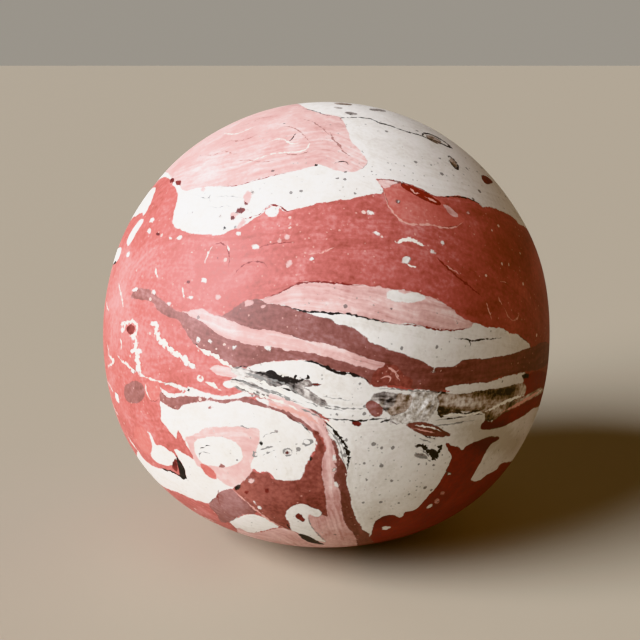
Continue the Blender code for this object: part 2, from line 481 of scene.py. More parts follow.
        (174, 448.5), (183, 453), (192, 458.5), (197, 464), (191, 452), (186, 444), (182.5, 437),
        (178, 430), (178, 430), (176, 438), (176, 438), (170, 431.5), (165.5, 425), (161, 419), (161, 409),
    ]),
    "cove_ring": ("rose", FRONT, [
        (185, 438), (197, 433.5), (204, 428), (220, 427), (235.5, 426.5), (255.5, 428), (260, 435),
        (257, 448.5), (254, 458), (250.5, 465.5), (252, 471.5), (246, 479), (235.5, 487), (224.5, 484),
        (217, 477.5), (207, 471), (197, 465), (192, 454.5), (188, 444),
    ]),
    "cove_heart": ("bone", FRONT, [
        (194, 445), (197, 440), (204, 438), (214, 436.5), (226, 438), (235.5, 442.5), (242, 450),
        (242, 459), (236, 464), (226, 467), (212.5, 466), (201, 462), (196, 453),
    ]),
    "cove_tongue": ("salmon", FRONT, [
        (201, 464), (206.5, 465.5), (213, 469.5), (216.5, 475.5), (216, 479.5), (209, 477), (203.5, 471.5),
    ]),
    "brown_sliver": ("umber", FRONT, [
        (160, 391.5), (167, 396), (178.5, 396.5), (190, 396), (205, 397), (222, 400), (236, 398.5),
        (244, 397), (256, 400.5), (268, 404.5), (277, 408), (286, 410), (292, 414.5), (300, 419),
        (307, 424), (313, 431), (309.5, 431), (302, 424), (292, 420), (284, 414), (276, 411), (266, 408),
        (256, 405.5), (244, 402), (236, 401), (224, 403.5), (210, 401), (190, 403.5), (182, 406),
        (179, 409.5), (171.5, 408), (164, 404), (160.5, 400),
    ]),
    "ribbon_upper": ("bone", FRONT, [
        (162, 384), (171, 382.5), (178.5, 385), (184.5, 387.5), (192, 387.5), (201, 391), (209, 393.5),
        (221.5, 396), (233, 395), (240, 393), (248, 392), (254.5, 394), (254, 397), (244, 396.5),
        (236, 398.5), (222, 399.5), (207, 397), (198, 394.5), (190, 391.5), (180, 389.5), (171, 386),
    ]),
    "ribbon_lower": ("bone", FRONT, [
        (160, 387), (164.5, 390.5), (171, 394), (178.5, 393.5), (190, 392), (201, 394.5), (212, 397.5),
        (203, 397.5), (190, 395.5), (179, 396.5), (169, 397), (163, 393),
    ]),
    "ribbon_blob": ("bone", FRONT, [(255, 398), (260, 397), (268, 401), (268, 404), (262, 403)]),
    "salmon_block": ("salmon", FRONT, [
        (145.5, 382.5), (157.5, 381.5), (160, 391.5), (158.5, 399), (151.5, 400.5), (147, 396),
    ]),
    "salmon_oval": ("salmon", FRONT, [
        (135, 428.5), (142, 427), (149.5, 435), (153, 447), (148, 454.5), (139, 447), (134.5, 438),
    ]),
    "mauve_disc": ("umber", FRONT, [
        (125, 386), (131, 382), (138, 381), (143, 385), (145, 392), (143, 399), (137, 403), (129, 402),
        (124.5, 396),
    ]),
    "small_bone": ("bone", FRONT, [
        (153, 446), (158, 445), (163.5, 446.5), (168, 450), (173.5, 453), (176, 458), (173.5, 464),
        (166.5, 465.5), (157.5, 462.5), (151, 456),
    ]),
    "small_tail": ("bone", FRONT, [
        (153, 447), (151, 441), (149.5, 435), (146, 431), (151, 434), (155, 444),
    ]),
    "maroon_bit": ("maroon", FRONT, [(176, 458), (173, 462), (172, 467), (177.5, 471)]),
    "black_triangle": ("black", FRONT, [
        (176.5, 455.5), (176.5, 455.5), (180.5, 462), (184.5, 468.5), (186.5, 478), (186.5, 478),
        (183.5, 479.5), (180, 476.5), (178.5, 468.5), (177, 461),
    ]),
    "brick_field": ("brick", FRONT, [
        (233.5, 488.5), (240, 483), (244.5, 481), (250, 474), (253, 471), (257.5, 473.5), (266.5, 472.5),
        (270.5, 475), (271, 478.5), (279, 480), (286.5, 481), (294, 481), (301, 479.5), (303.5, 472.5),
        (307, 464), (312.5, 458), (316.5, 446.5), (315, 439.5), (312, 432), (318, 430), (321.5, 439.5),
        (325.5, 447), (326, 455), (325, 473.5), (327, 488.5), (330, 504), (330, 516), (322.5, 514),
        (317, 510), (310.5, 508), (302, 505), (294, 508), (289, 514), (290, 524), (291, 530), (287.5, 529),
        (279, 526), (269.5, 520), (259, 512.5), (248.5, 503), (239, 494.5),
    ]),
    "muted_shoal": ("umber", FRONT, [
        (216, 496), (220, 491.5), (227, 489.5), (233, 490), (240.5, 497), (248.5, 502.5), (257.5, 511),
        (250, 514), (242, 514.5), (235.5, 518.5), (229, 522), (221, 522), (217.5, 515), (209, 505.5),
    ]),
    "bottom_lens": ("bone", FRONT, [
        (229, 522), (229, 522), (236, 518.5), (243, 515.5), (251, 514.5), (259, 515.5), (266.5, 518.5),
        (276, 524.5), (279, 527), (271, 528.5), (259.5, 531.5), (250, 532.5), (244.5, 531.5), (237, 528.5),
    ]),
    "dusky_rose": ("rose", FRONT, [
        (237, 529), (250, 533), (262, 532), (279, 528), (290, 530), (300, 535), (310, 539.5), (325, 545),
        (322, 552), (298, 552), (268, 549), (246, 540),
    ]),
    "rose_stem": ("rose", FRONT, [
        (310, 412), (318, 417), (325, 425), (329.5, 433.5), (335, 452), (337, 462), (333.5, 462.5),
        (337, 468.5), (333.5, 476), (336.5, 484), (341, 494.5), (341, 506), (343.5, 519), (349.5, 530),
        (356, 539), (362, 556), (325, 562), (316, 548), (310, 530), (308, 518), (310, 514.5), (321, 514.5),
        (327, 516), (327, 514.5), (324.5, 488.5), (321.5, 473), (323, 458), (326, 450), (324.5, 442.5),
        (320, 430), (312, 420),
    ]),
    "umber_stem": ("umber", FRONT, [
        (322, 423), (330, 436), (337, 444), (339.5, 455.5), (345.5, 465), (347, 473.5), (346.5, 482.5),
        (350.5, 495.5), (352, 507.5), (357, 520.5), (363.5, 530), (371, 538.5), (378, 552), (362, 560),
        (356, 539), (349.5, 530), (343.5, 519), (341, 506), (341, 494.5), (336.5, 484), (333.5, 476),
        (337, 468.5), (333.5, 462.5), (337, 462), (335, 452), (329.5, 433.5),
    ]),
    "hook_bone": ("bone", FRONT, [
        (289, 508.5), (298, 504), (305.5, 504.5), (313.5, 508.5), (319.5, 510), (321.5, 514.5), (317, 517),
        (309.5, 514.5), (308, 518), (309.5, 523), (312, 527), (318.5, 536), (326, 542), (318, 541),
        (309.5, 538), (298, 533.5), (290.5, 529), (289.5, 523), (286, 517.5), (286, 512),
    ]),
    "hook_speck": ("maroon", FRONT, [
        (295, 516), (299.5, 513), (302, 516), (305.5, 520), (302.5, 522), (298, 519),
    ]),
    "dark_wedge": ("black", FRONT, [
        (298, 534), (305.5, 535), (313.5, 539), (324, 544.5), (312, 543), (303, 539),
    ]),
    "antler": ("crimson", FRONT, [
        (445.5, 442.5), (451.5, 445.5), (458, 447), (462.5, 450), (467, 445.5), (477.5, 441), (490, 437),
        (500.5, 438), (491.5, 444), (487, 450), (480.5, 462.5), (474.5, 473), (471, 480), (479, 480.5),
        (487, 474.5), (496, 470), (504, 462.5), (514, 462), (510, 482), (492, 500), (474, 516), (446, 536),
        (412, 550), (381, 552), (372, 540), (372, 533), (373.5, 523.5), (381, 517.5), (392, 514.5),
        (401, 517.5), (405.5, 511.5), (415, 510), (427, 497.5), (439.5, 482.5), (451.5, 458),
        (448.5, 451.5),
    ]),
    "brown_lens": ("umber", FRONT, [
        (405, 424), (416, 422), (424, 422.5), (436, 425.5), (444, 430), (450, 434), (448.5, 436),
        (430, 437), (419.5, 433.5), (409, 427.5),
    ]),
    "flap": ("salmon", FRONT, [
        (383, 188), (386, 185), (400, 183), (415, 186), (436, 197), (445.5, 203), (454.5, 211),
        (464, 218.5), (462.5, 223), (456, 226), (440, 226.5), (425, 224.5), (409, 223), (403, 221),
        (396.5, 217), (390, 209), (387.5, 203),
    ]),
    "flap_rose": ("rose", FRONT, [
        (377, 181), (383, 180), (400, 182.5), (394, 184.5), (386, 188), (382, 186),
    ]),
    "flap_streak": ("crimson", FRONT, [
        (401, 184), (410, 186), (421, 190.5), (432, 196.5), (441, 203), (437, 205), (427, 200.5),
        (416, 195.5), (406, 190),
    ]),
    "flap_lens": ("rose", FRONT, [(443, 204), (448, 206), (458, 214), (457, 217), (451, 215), (446, 209)]),
    # Back of the ball
    "back_drift_bone": ("bone", BACK, [
        (150, 250), (180, 232), (222, 238), (260, 262), (300, 268), (345, 262), (392, 276), (438, 300),
        (480, 306), (514, 296), (520, 306), (482, 322), (436, 322), (392, 304), (346, 292), (300, 300),
        (252, 296), (214, 276), (178, 268), (152, 262),
    ]),
    "back_drift_rose": ("rose", BACK, [
        (176, 262), (214, 270), (252, 290), (300, 296), (346, 290), (392, 300), (430, 318), (400, 326),
        (352, 316), (306, 322), (258, 316), (216, 298), (186, 282),
    ]),
    "back_umber": ("umber", BACK, [
        (112, 352), (150, 340), (198, 350), (240, 372), (290, 380), (340, 372), (386, 352), (430, 348),
        (468, 356), (440, 368), (392, 376), (344, 396), (292, 404), (236, 396), (192, 376), (150, 364),
    ]),
    "back_bone_bloom": ("bone", BACK, [
        (214, 420), (244, 404), (284, 410), (322, 428), (362, 424), (402, 404), (442, 406), (462, 430),
        (442, 456), (398, 470), (350, 468), (318, 484), (276, 482), (240, 462), (216, 444),
    ]),
    "back_rose_bloom": ("rose", BACK, [
        (250, 430), (282, 424), (316, 440), (352, 444), (392, 432), (420, 430), (424, 444), (396, 456),
        (350, 456), (314, 466), (278, 462), (254, 448),
    ]),
    "back_brick": ("brick", BACK, [
        (296, 190), (330, 176), (372, 182), (410, 204), (428, 226), (404, 232), (362, 216), (322, 210),
    ]),
    "back_ash": ("ash", BACK, [
        (120, 404), (156, 396), (196, 404), (226, 424), (206, 436), (168, 430), (136, 424),
    ]),
    "back_red_tongue": ("red", BACK, [
        (208, 234), (238, 230), (270, 240), (300, 250), (322, 262), (300, 270), (268, 262), (236, 250),
        (212, 246),
    ]),
    "back_umber_side": ("umber", BACK, [
        (430, 384), (452, 392), (474, 400), (500, 398), (524, 388), (530, 402), (502, 414), (470, 414),
        (442, 402),
    ]),
    "back_bone_low": ("bone", BACK, [
        (150, 476), (178, 466), (204, 478), (230, 500), (262, 512), (290, 530), (262, 536), (224, 522),
        (186, 502),
    ]),
    # Both sides
    "right_bone": ("bone", RIGHT_SIDE, [
        (312, 458), (340, 446), (372, 440), (404, 446), (436, 442), (462, 430), (472, 438), (442, 458),
        (404, 466), (370, 460), (340, 466),
    ]),
    "right_rose": ("rose", RIGHT_SIDE, [
        (330, 326), (358, 316), (392, 320), (430, 310), (466, 296), (476, 306), (438, 326), (394, 336),
        (356, 334),
    ]),
    "right_salmon": ("salmon", RIGHT_SIDE, [
        (350, 384), (384, 372), (420, 378), (446, 392), (424, 402), (386, 398),
    ]),
    "left_red_tongue": ("red", LEFT_SIDE, [
        (180, 258), (206, 250), (234, 262), (262, 276), (290, 284), (318, 292), (306, 306), (272, 302),
        (238, 292), (206, 286), (184, 276),
    ]),
    "left_umber": ("umber", LEFT_SIDE, [
        (150, 358), (180, 348), (216, 356), (252, 372), (288, 384), (322, 388), (350, 378), (352, 388),
        (322, 404), (286, 404), (248, 392), (212, 378), (178, 372), (152, 370),
    ]),
    "left_rose": ("rose", LEFT_SIDE, [
        (206, 380), (248, 394), (286, 406), (320, 406), (342, 396), (328, 416), (288, 424), (246, 412),
        (210, 394),
    ]),
    "left_bone": ("bone", LEFT_SIDE, [
        (186, 440), (222, 428), (262, 440), (300, 454), (336, 444), (348, 454), (318, 472), (276, 476),
        (236, 464), (200, 458),
    ]),
}

# Small crumbs of paste: centre x and y, half width, half height, lean in degrees
CRUMBS = {
    "bone": [
        (370.5, 212.5, 3.8, 2.2, 15), (377, 233.3, 3.4, 1.5, 20), (432.5, 251.5, 3, 1.8, 30),
        (442.5, 243, 1.6, 2, 0), (406, 260, 5, 3, -20), (255.3, 246.9, 3.6, 2, 12),
        (238.5, 233.9, 2, 1.6, 0), (152, 220, 2, 3, 20), (149, 230.8, 1.7, 2.2, 20),
        (179.5, 237.7, 2.4, 1.7, -20), (170.4, 237.7, 1.6, 1.4, 0), (128.3, 254.5, 1.6, 3, 25),
        (204, 280.6, 2, 2.2, 0), (191, 297.4, 3.4, 1.6, -10), (153.5, 292, 1.6, 2.6, -25),
        (135.2, 289.5, 3, 1.5, -40), (168.8, 304.3, 1.8, 1.6, 0), (269, 348.3, 2.6, 2.2, 0),
        (209.4, 342.2, 1.9, 1.9, 0), (234.6, 347.5, 1.9, 1.9, 0), (197.9, 340, 1.6, 2.2, 0),
        (312, 259.5, 2.2, 1.5, 0), (432.5, 371.3, 2.2, 2.2, 0), (254.6, 502, 1.8, 1.6, 30),
        (259.5, 507.5, 2.2, 1.6, 30), (449.3, 474, 1.6, 1.6, 0), (386, 528, 4, 1.8, -15),
        (430, 506.5, 3.5, 1.4, -30), (334, 457, 1.6, 3, 0), (334.5, 470, 1.8, 2.6, 10),
        (336, 484, 1.6, 2.4, -10), (117, 398, 1.8, 5, -15), (471.5, 327.6, 2, 1.6, 0),
        (398, 201.7, 1.8, 1.4, 0), (136, 343, 2.4, 1.9, 20), (133.6, 350.6, 3.4, 2.2, -20),
        (139.4, 351.4, 2.8, 2.6, 0), (137.4, 360.6, 2.8, 2, 30), (138, 368, 2.6, 3.4, 0),
        (141.4, 375, 2.8, 1.7, 20), (133, 371.6, 2.2, 1.6, 30), (123, 323.4, 2.6, 1.8, -30),
        (122.4, 330, 1.8, 2.8, 10), (133.6, 337.4, 2.6, 2.2, 0), (153.4, 323.6, 3.2, 1.7, -10),
        (157.4, 326.4, 1.9, 2.8, 0), (158.6, 334.4, 2.2, 3, 0), (162, 342, 3.2, 2.6, 30),
        (170.6, 348.6, 3.4, 1.9, 35), (177.6, 354.6, 3.2, 2.4, 30), (184.8, 358.8, 3.6, 3, 30),
        (192, 366.4, 3.2, 2.4, 40), (186.6, 363.6, 1.8, 1.5, 0),
    ],
    "dun": [(434, 139.4, 8.4, 3, 29), (453.2, 162.6, 5.4, 2.4, 58), (343, 103.6, 9, 1.2, 6)],
    "flake": [(396, 421.6, 4, 2, 10)],
    "rose": [
        (289, 263, 3, 3, 0), (287.5, 237, 2.8, 2.8, 0), (279, 224.7, 2, 1.8, 0),
        (289.8, 224.7, 1.7, 1.7, 0), (279.8, 240.8, 1.8, 1.5, 0), (217.8, 296.6, 2.2, 2.2, 0),
        (248.4, 303.5, 4.4, 3, -15), (263, 306.6, 1.8, 1.8, 0), (468.5, 212.5, 1.8, 1.6, 0),
        (247.5, 197, 3.4, 6.5, 15), (203.3, 189.5, 1.8, 3, 30), (252, 480, 3.4, 2.4, -30),
        (442.5, 493, 2, 2, 0), (437, 501.4, 2.6, 2.4, 0), (239, 226, 3.4, 2, -30), (233, 215, 3.8, 3.4, 0),
        (243, 221, 2.6, 3.4, 20),
    ],
    "maroon": [
        (240.8, 210.2, 4, 3.6, 10), (246, 203.3, 2.2, 1.9, 0), (232.4, 217.5, 2.4, 2.2, 0),
        (171.9, 180.3, 2.4, 3, 20), (178.5, 182.6, 3, 2.6, 0), (248, 210, 1.8, 1.6, 0),
        (266.8, 490.7, 2.2, 2, 0), (246, 493, 1.8, 1.6, 0), (130.6, 329, 4.4, 5.2, 0),
        (217, 258.4, 1.6, 1.8, 0), (158, 234, 2.6, 1.6, 0), (188, 282, 2.2, 1.9, 0),
        (316.5, 384.7, 5, 1.1, -3), (287.5, 452.4, 1.9, 1.9, 0), (356.7, 423.3, 4.6, 1.9, 5),
    ],
    "black": [
        (315.8, 164.7, 2.4, 1.4, 5), (224, 227.8, 1.7, 1.7, 0), (260.7, 443.2, 1.7, 1.7, 0),
        (237, 487.5, 3.6, 2.2, -20), (187.5, 390, 2.6, 1.5, 10), (435, 454.5, 3.2, 5.6, -35),
        (526, 376, 2.6, 2.4, 0), (439.5, 392.4, 6.2, 1.3, 5), (384, 397, 3, 1.2, 20),
        (391, 400, 3.4, 1.1, -15), (114.5, 263, 1.1, 2.2, 30), (310.5, 459, 1.6, 3.4, 15),
    ],
    "ash": [
        (253, 192.6, 1.5, 1.7, 0), (220, 216.5, 2, 1.6, 0), (276, 431.7, 2, 1.4, 0),
        (420.5, 456, 5.6, 2.6, 5), (351, 113.3, 6, 1.4, 8), (378, 110, 8, 1.3, 8),
        (338.5, 107.5, 4.5, 1, 5),
    ],
    "umber": [(222.5, 466, 2.2, 1.6, 0), (209.4, 407.2, 1.8, 1.2, 0)],
}


def ring(x, y, across, up, first=0, turn=360):
    """Pixels round an oval, for a fine line."""
    steps = [math.radians(first + turn * step / 10) for step in range(11)]
    return [(x + across * math.cos(a), y + up * math.sin(a)) for a in steps]


# Fine lines: colour, half width in millimetres at the middle, pixels
LINES = {
    "shelf_streak_high": ("white", 0.5, [
        (484, 411.5), (492, 409), (500, 404.5), (509, 400), (518, 397), (524, 395.5),
    ]),
    "shelf_streak_low": ("rose", 0.55, [
        (500, 413), (508, 409.5), (516, 405), (524, 401), (533, 395), (541, 390),
    ]),
    "top_hairline": ("black", 0.34, [
        (343, 121.5), (339.9, 118), (350.6, 117.4), (362.9, 117.6), (372, 119.4), (379.7, 122.9),
        (385.8, 124.4), (396.5, 128), (405.7, 131.3), (414.9, 133.6), (424, 136.7), (433.3, 141.3),
        (442.5, 144.3),
    ]),
    "limb_hairline": ("grey", 0.2, [(300, 103), (320, 101.6), (350, 103.4), (360, 105.3), (374, 109.5)]),
    "upper_loop": ("black", 0.6, [
        (424, 137), (422.8, 133.4), (430.2, 134.2), (439.4, 138.6), (447, 143.6), (450.5, 147.6),
        (442.5, 144.2), (433.3, 140), (425.6, 136.7),
    ]),
    "lower_loop": ("black", 0.42, [
        (448.5, 158), (448.4, 156), (451.4, 157.6), (455.4, 161.6), (458.4, 167), (457, 169.6),
        (452.6, 165.4), (448.6, 159),
    ]),
    "right_dash": ("black", 0.2, [(465, 166.6), (469.5, 171)]),
    "cap_mark": ("black", 0.2, [(289, 141.6), (292, 139), (296, 133.4)]),
    "cap_mark_right": ("black", 0.16, [
        (333.5, 163.6), (338, 162), (343, 161.4), (349.6, 163.8), (346, 165.4),
    ]),
    "cap_mark_upper": ("grey", 0.2, [(335, 141.5), (338.4, 145), (342, 147)]),
    "cap_pale": ("white", 0.3, [
        (244, 164), (258, 158.5), (276, 153.4), (292, 152.4), (305, 150), (310.4, 142),
    ]),
    "cap_wisp_one": ("dusk", 0.3, [(218, 147), (229, 141), (240, 141), (250, 138), (262, 132)]),
    "cap_wisp_two": ("dusk", 0.24, [(203, 155), (214, 155), (223, 151), (234, 154), (241, 151)]),
    "cap_wisp_three": ("dusk", 0.22, [(236, 127), (250, 123), (261, 118), (278, 116)]),
    "cap_wisp_four": ("dusk", 0.28, [(261, 158), (277, 153), (297, 154.6), (317, 149)]),
    "cap_wisp_five": ("dusk", 0.24, [(275, 131), (285, 126.6), (296, 129), (304, 135.6), (311, 144)]),
    "cap_wisp_six": ("dusk", 0.2, [(226, 163), (245, 160), (264, 162), (284, 158)]),
    "cap_wisp_seven": ("dusk", 0.34, [(330, 131), (333, 139), (338, 143.6), (344, 152), (352, 157)]),
    "cap_wisp_eight": ("dusk", 0.2, [(296, 118), (310, 121), (322, 128), (331, 137)]),
    "cap_wisp_nine": ("white", 0.24, [(222, 133), (234, 134), (246, 130), (258, 125)]),
    "cap_wisp_ten": ("white", 0.26, [(268, 142), (281, 139), (292, 144), (301, 142)]),
    "cap_rim": ("black", 0.22, [(300, 108.4), (313, 110.4), (325, 114.6), (333, 116)]),
    "cap_edge": ("maroon", 0.17, [(215, 187), (237, 185.4), (254, 180.6), (274, 175.4), (297, 170.8)]),
    "blob_edge": ("maroon", 0.28, [
        (262, 212), (267, 206.8), (272, 204.6), (280, 206.4), (286, 211), (294, 209.6),
    ]),
    "blob_left": ("maroon", 0.22, [(240, 217), (247, 219), (252, 216), (258, 215), (263, 212)]),
    "cap_loop_left": ("grey", 0.17, [
        (195, 194), (201, 197), (207, 198.4), (211, 194.6), (209, 200), (212, 202),
    ]),
    "cap_line_grey": ("grey", 0.15, [(214, 197), (224, 196), (236, 196.5), (243, 198.5)]),
    "cap_line_grey_low": ("grey", 0.15, [(209, 206), (218, 207.5), (226, 205.5), (233, 207)]),
    "flap_bottom": ("rose", 0.28, [
        (383.5, 189), (387, 203), (393.5, 213), (402.7, 221.6), (414.9, 224.7), (427, 224.9),
        (433.3, 225.7), (445.5, 227.8), (457.8, 226.2), (462.8, 221),
    ]),
    "flap_top": ("maroon", 0.22, [(376, 180), (386, 179.6), (402, 182), (421, 190.4), (441, 198.4)]),
    "flap_fleck": ("rose", 0.32, [(410, 188), (414, 192), (420, 194)]),
    "flap_fleck_low": ("rose", 0.3, [(424, 196), (431, 199), (437.5, 202.5)]),
    "cap_under_seam": ("black", 0.2, [(438, 197.4), (452, 196.6), (464, 197.6), (474, 201), (484, 207.6)]),
    "squiggle": ("white", 0.5, [
        (394.2, 240.6), (398, 243), (401, 240), (408, 239.2), (414.9, 240.8), (419.5, 243.8), (425.6, 246),
    ]),
    "blob_tail": ("white", 0.3, [(407, 263), (411, 266), (416.6, 267.3)]),
    "red_line": ("rose", 0.22, [(308, 254), (320, 253), (328, 250), (334.5, 247.4)]),
    "dark_diagonal": ("maroon", 0.34, [
        (436.3, 256.8), (445.5, 266), (457.8, 276.7), (473, 289), (482.3, 297),
    ]),
    "pale_diagonal": ("rose", 0.17, [(446, 265), (453, 270), (460, 274.6)]),
    "right_pale": ("rose", 0.26, [(486.4, 302), (489, 311), (491.6, 320)]),
    "right_pale_upper": ("rose", 0.24, [(498, 296.4), (500, 301), (502.4, 305)]),
    "right_hook": ("rose", 0.24, [(503.5, 307), (507, 314), (511.6, 320), (517.5, 318.5), (519.4, 311.6)]),
    "right_thin": ("rose", 0.17, [(501, 281), (508.6, 283.8)]),
    "arch_pale": ("white", 0.28, [(213, 245.6), (209, 252), (206.4, 258), (204.4, 264)]),
    "arch_top": ("maroon", 0.2, [
        (212, 246), (219, 243), (225, 245), (228.3, 251), (229.4, 259), (229, 268),
    ]),
    "arch_pale_right": ("white", 0.24, [(227, 245), (229.5, 251)]),
    "left_streak": ("white", 0.24, [(155, 267), (156, 272), (157.6, 278)]),
    "middle_streak": ("white", 0.22, [(182.4, 287), (183, 293), (184.4, 298.6)]),
    "limb_streak": ("white", 0.3, [(118.6, 283), (121, 294), (123.4, 308)]),
    "limb_streak_low": ("white", 0.24, [(106.6, 300), (107, 306), (109, 311)]),
    "swirl_dark": ("maroon", 0.2, [(232, 277), (240, 268), (250, 262), (262, 262), (268, 268)]),
    "swirl_dark_upper": ("maroon", 0.17, [(256, 249), (266, 245), (280, 243), (296, 242)]),
    # Left side
    "left_ring": ("white", 0.5, ring(130.8, 328.4, 6.6, 7.6, first=140, turn=330)),
    "left_ring_bits": ("white", 0.34, [(121, 322), (125, 325), (123.6, 331)]),
    "vein_one": ("white", 0.8, [
        (134.6, 335), (136.4, 342), (135.4, 349), (137.8, 355), (137, 361), (140.4, 367), (140.6, 374.6),
    ]),
    "vein_two": ("white", 0.7, [
        (151, 324.4), (157, 325), (156, 331), (158, 338), (164, 343), (169, 348.4), (176, 353.6),
        (185, 359.6), (192, 365), (196, 369),
    ]),
    "vein_ring": ("white", 0.34, ring(200.4, 378, 2.7, 2.9, first=-60, turn=330)),
    "vein_end": ("white", 0.4, [(205, 382), (211, 384), (217, 388), (222, 391)]),
    "vein_three": ("white", 0.4, [(117.4, 355), (121, 360), (126, 363.6), (131, 368), (135, 371)]),
    "vein_four": ("white", 0.3, [(120, 338), (121.6, 344), (121, 350)]),
    "limb_fork": ("white", 0.34, [(106.8, 341), (108.4, 349), (109.4, 356), (114.6, 361), (107.8, 367)]),
    "thin_left": ("white", 0.22, [(141, 374.6), (148, 378), (156, 380.6), (166, 383)]),
    "limb_bit": ("white", 0.34, [(108.4, 381), (110.6, 387), (113.4, 393)]),
    "limb_bit_low": ("white", 0.26, [(112.6, 401), (115, 408), (119, 416)]),
    "limb_white": ("white", 0.4, [(127.6, 436), (132, 443), (137, 450), (143, 458)]),
    "ribbon_white": ("white", 0.5, [
        (195.8, 345), (200, 349.4), (206, 352.4), (212.5, 354.8), (219, 359), (226, 363.8), (235, 370),
    ]),
    "ribbon_black": ("black", 0.17, [(195, 343.4), (198.6, 346.6), (203, 350.4)]),
    "block_edge": ("white", 0.2, [(146, 383), (146.6, 392), (151, 400)]),
    # Lens and its seams
    "lens_seam": ("black", 0.26, [
        (281, 304.6), (289, 307), (294, 308.7), (304, 311.2), (315, 311.7), (330, 313.2), (340.5, 313.7),
        (353.5, 315.2), (371, 319.2), (386, 322.2), (398, 324.7),
    ]),
    "lens_seam_right": ("maroon", 0.2, [
        (398, 324.7), (412, 325), (425, 327), (440, 330), (456, 330), (470, 327.6),
    ]),
    "lens_top_seam": ("maroon", 0.22, [
        (262, 299.6), (277.5, 293.6), (296.5, 284.2), (313, 282), (332.5, 282.6), (350, 284.8),
        (366, 285.4),
    ]),
    "crack": ("black", 0.2, [
        (454, 337.6), (460, 338.8), (466, 339.2), (471.5, 340.6), (478, 340), (484, 339), (492, 339),
        (502, 337.8),
    ]),
    "crack_branch": ("black", 0.17, [(468.4, 340.6), (471, 343.4), (469.8, 347)]),
    "lens_ridge": ("white", 0.34, [(506.4, 331), (510, 336), (510.8, 344.6)]),
    "umber_seam": ("black", 0.4, [
        (303, 361), (313, 362), (321, 364.8), (330, 369.4), (339.9, 372.6), (350.6, 374), (359.8, 376.3),
        (367, 380), (370.5, 384),
    ]),
    "swirl_pale": ("rose", 0.22, [(386, 366), (392, 370), (398, 376), (396, 380)]),
    "swirl_pale_low": ("rose", 0.22, [(380, 379), (386, 376), (391, 379), (388, 383)]),
    "swirl_pale_right": ("rose", 0.2, [(399, 369), (395, 374), (400, 381)]),
    # Stream and shelf
    "comet_black": ("black", 0.62, [
        (252, 371.8), (259, 373), (268, 373.6), (274, 373), (279.8, 377.6), (289, 379), (295, 380.6),
        (302, 380.4), (308.6, 377),
    ]),
    "comet_comma": ("black", 0.4, [(294, 380), (294.6, 377), (297.4, 375.4)]),
    "comet_comma_right": ("black", 0.34, [(306, 380), (308, 377.4), (307.4, 374.4)]),
    "stream_top": ("black", 0.24, [(236, 369), (241, 366.4), (247, 367), (251, 370)]),
    "stream_dark": ("grey", 0.26, [(262, 377), (276, 380.6), (288, 385.6), (296, 392), (306, 398)]),
    "stream_lilac": ("grey", 0.42, [(244, 372), (256, 376), (266, 381), (277, 384)]),
    "stream_lilac_low": ("dusk", 0.4, [(247, 392), (258, 395.6), (268, 399), (279, 402)]),
    "stream_lilac_side": ("grey", 0.4, [(262, 390), (274, 393.6), (286, 398), (298, 403)]),
    "stream_mid": ("black", 0.24, [(280, 387.4), (289, 390), (298, 394.6)]),
    "stream_side": ("grey", 0.22, [(300, 408.6), (309, 412), (320, 417.4)]),
    "stream_right": ("grey", 0.2, [(304, 401), (316, 405), (329, 408.4), (344, 410.4)]),
    "stream_short": ("black", 0.26, [(229, 379.4), (238, 380), (247, 383), (256, 386.4)]),
    "stream_dark_low": ("grey", 0.24, [
        (232, 377), (246, 383), (258, 388), (272, 391), (288, 397), (306, 406),
    ]),
    "stream_white": ("white", 0.4, [
        (224, 383), (238, 385), (252, 391), (268, 398), (286, 404), (300, 411),
    ]),
    "stream_white_high": ("white", 0.34, [(238, 376), (252, 379.6), (266, 384), (280, 391), (292, 399)]),
    "stream_rose": ("rose", 0.5, [(266, 402), (280, 407.4), (296, 412), (310, 418), (320, 426)]),
    "comet_line": ("grey", 0.2, [(318, 402), (329, 405.7), (341.4, 408), (352, 408.6), (366, 408.8)]),
    "comet_line_low": ("black", 0.22, [
        (318, 417.6), (338.4, 419.5), (358.3, 421), (372, 419.6), (381.2, 418.7), (392, 419.5),
    ]),
    "comet_dash": ("black", 0.3, [(379.6, 422.4), (385, 421), (393, 419.8)]),
    "comet_line_high": ("grey", 0.15, [(322, 396), (336, 398.6), (352, 400)]),
    "shelf_top": ("grey", 0.2, [(376, 388.6), (396, 389), (420, 391), (437, 391)]),
    "shelf_line": ("black", 0.3, [(452, 412.8), (460, 412.8), (467, 413.2), (475, 411), (484, 409)]),
    "shelf_line_low": ("black", 0.22, [(436, 420.4), (446, 419), (458, 417.8), (473, 414.6), (484, 414)]),
    "shelf_line_third": ("grey", 0.2, [(430, 426), (446, 424.6), (462, 422), (476, 420)]),
    "shelf_white": ("white", 0.34, [(442, 415.6), (456, 415), (468, 415.4), (482, 411.6)]),
    "shelf_limb_white": ("white", 0.4, [(532, 396.6), (537, 393), (542, 389.4)]),
    "lens_brown_pale": ("white", 0.22, [(414, 425.4), (424, 426.6), (434, 428.6), (442, 431.6)]),
    "lens_brown_rose": ("rose", 0.2, [(412, 428), (424, 430.6), (436, 433)]),
    "under_lens": ("black", 0.26, [(423.6, 435), (429, 437.6), (436, 439)]),
    "under_lens_grey": ("grey", 0.2, [(418, 438), (426, 441), (434, 442.4)]),
    # Curl, stem and cove
    "curl": ("black", 0.62, [
        (414, 446.6), (419.6, 445.4), (425, 447), (430, 451.4), (432.6, 458), (436.4, 461),
    ]),
    "curl_right": ("black", 0.55, [(434, 456), (438.6, 452.6), (441.4, 447), (436.6, 447)]),
    "curl_grey": ("grey", 0.34, [(415, 452), (419, 456.6), (426, 458), (431, 462)]),
    "curl_grey_high": ("grey", 0.24, [(420, 450.6), (426, 453), (429, 457.6)]),
    "stem_black": ("black", 0.5, [
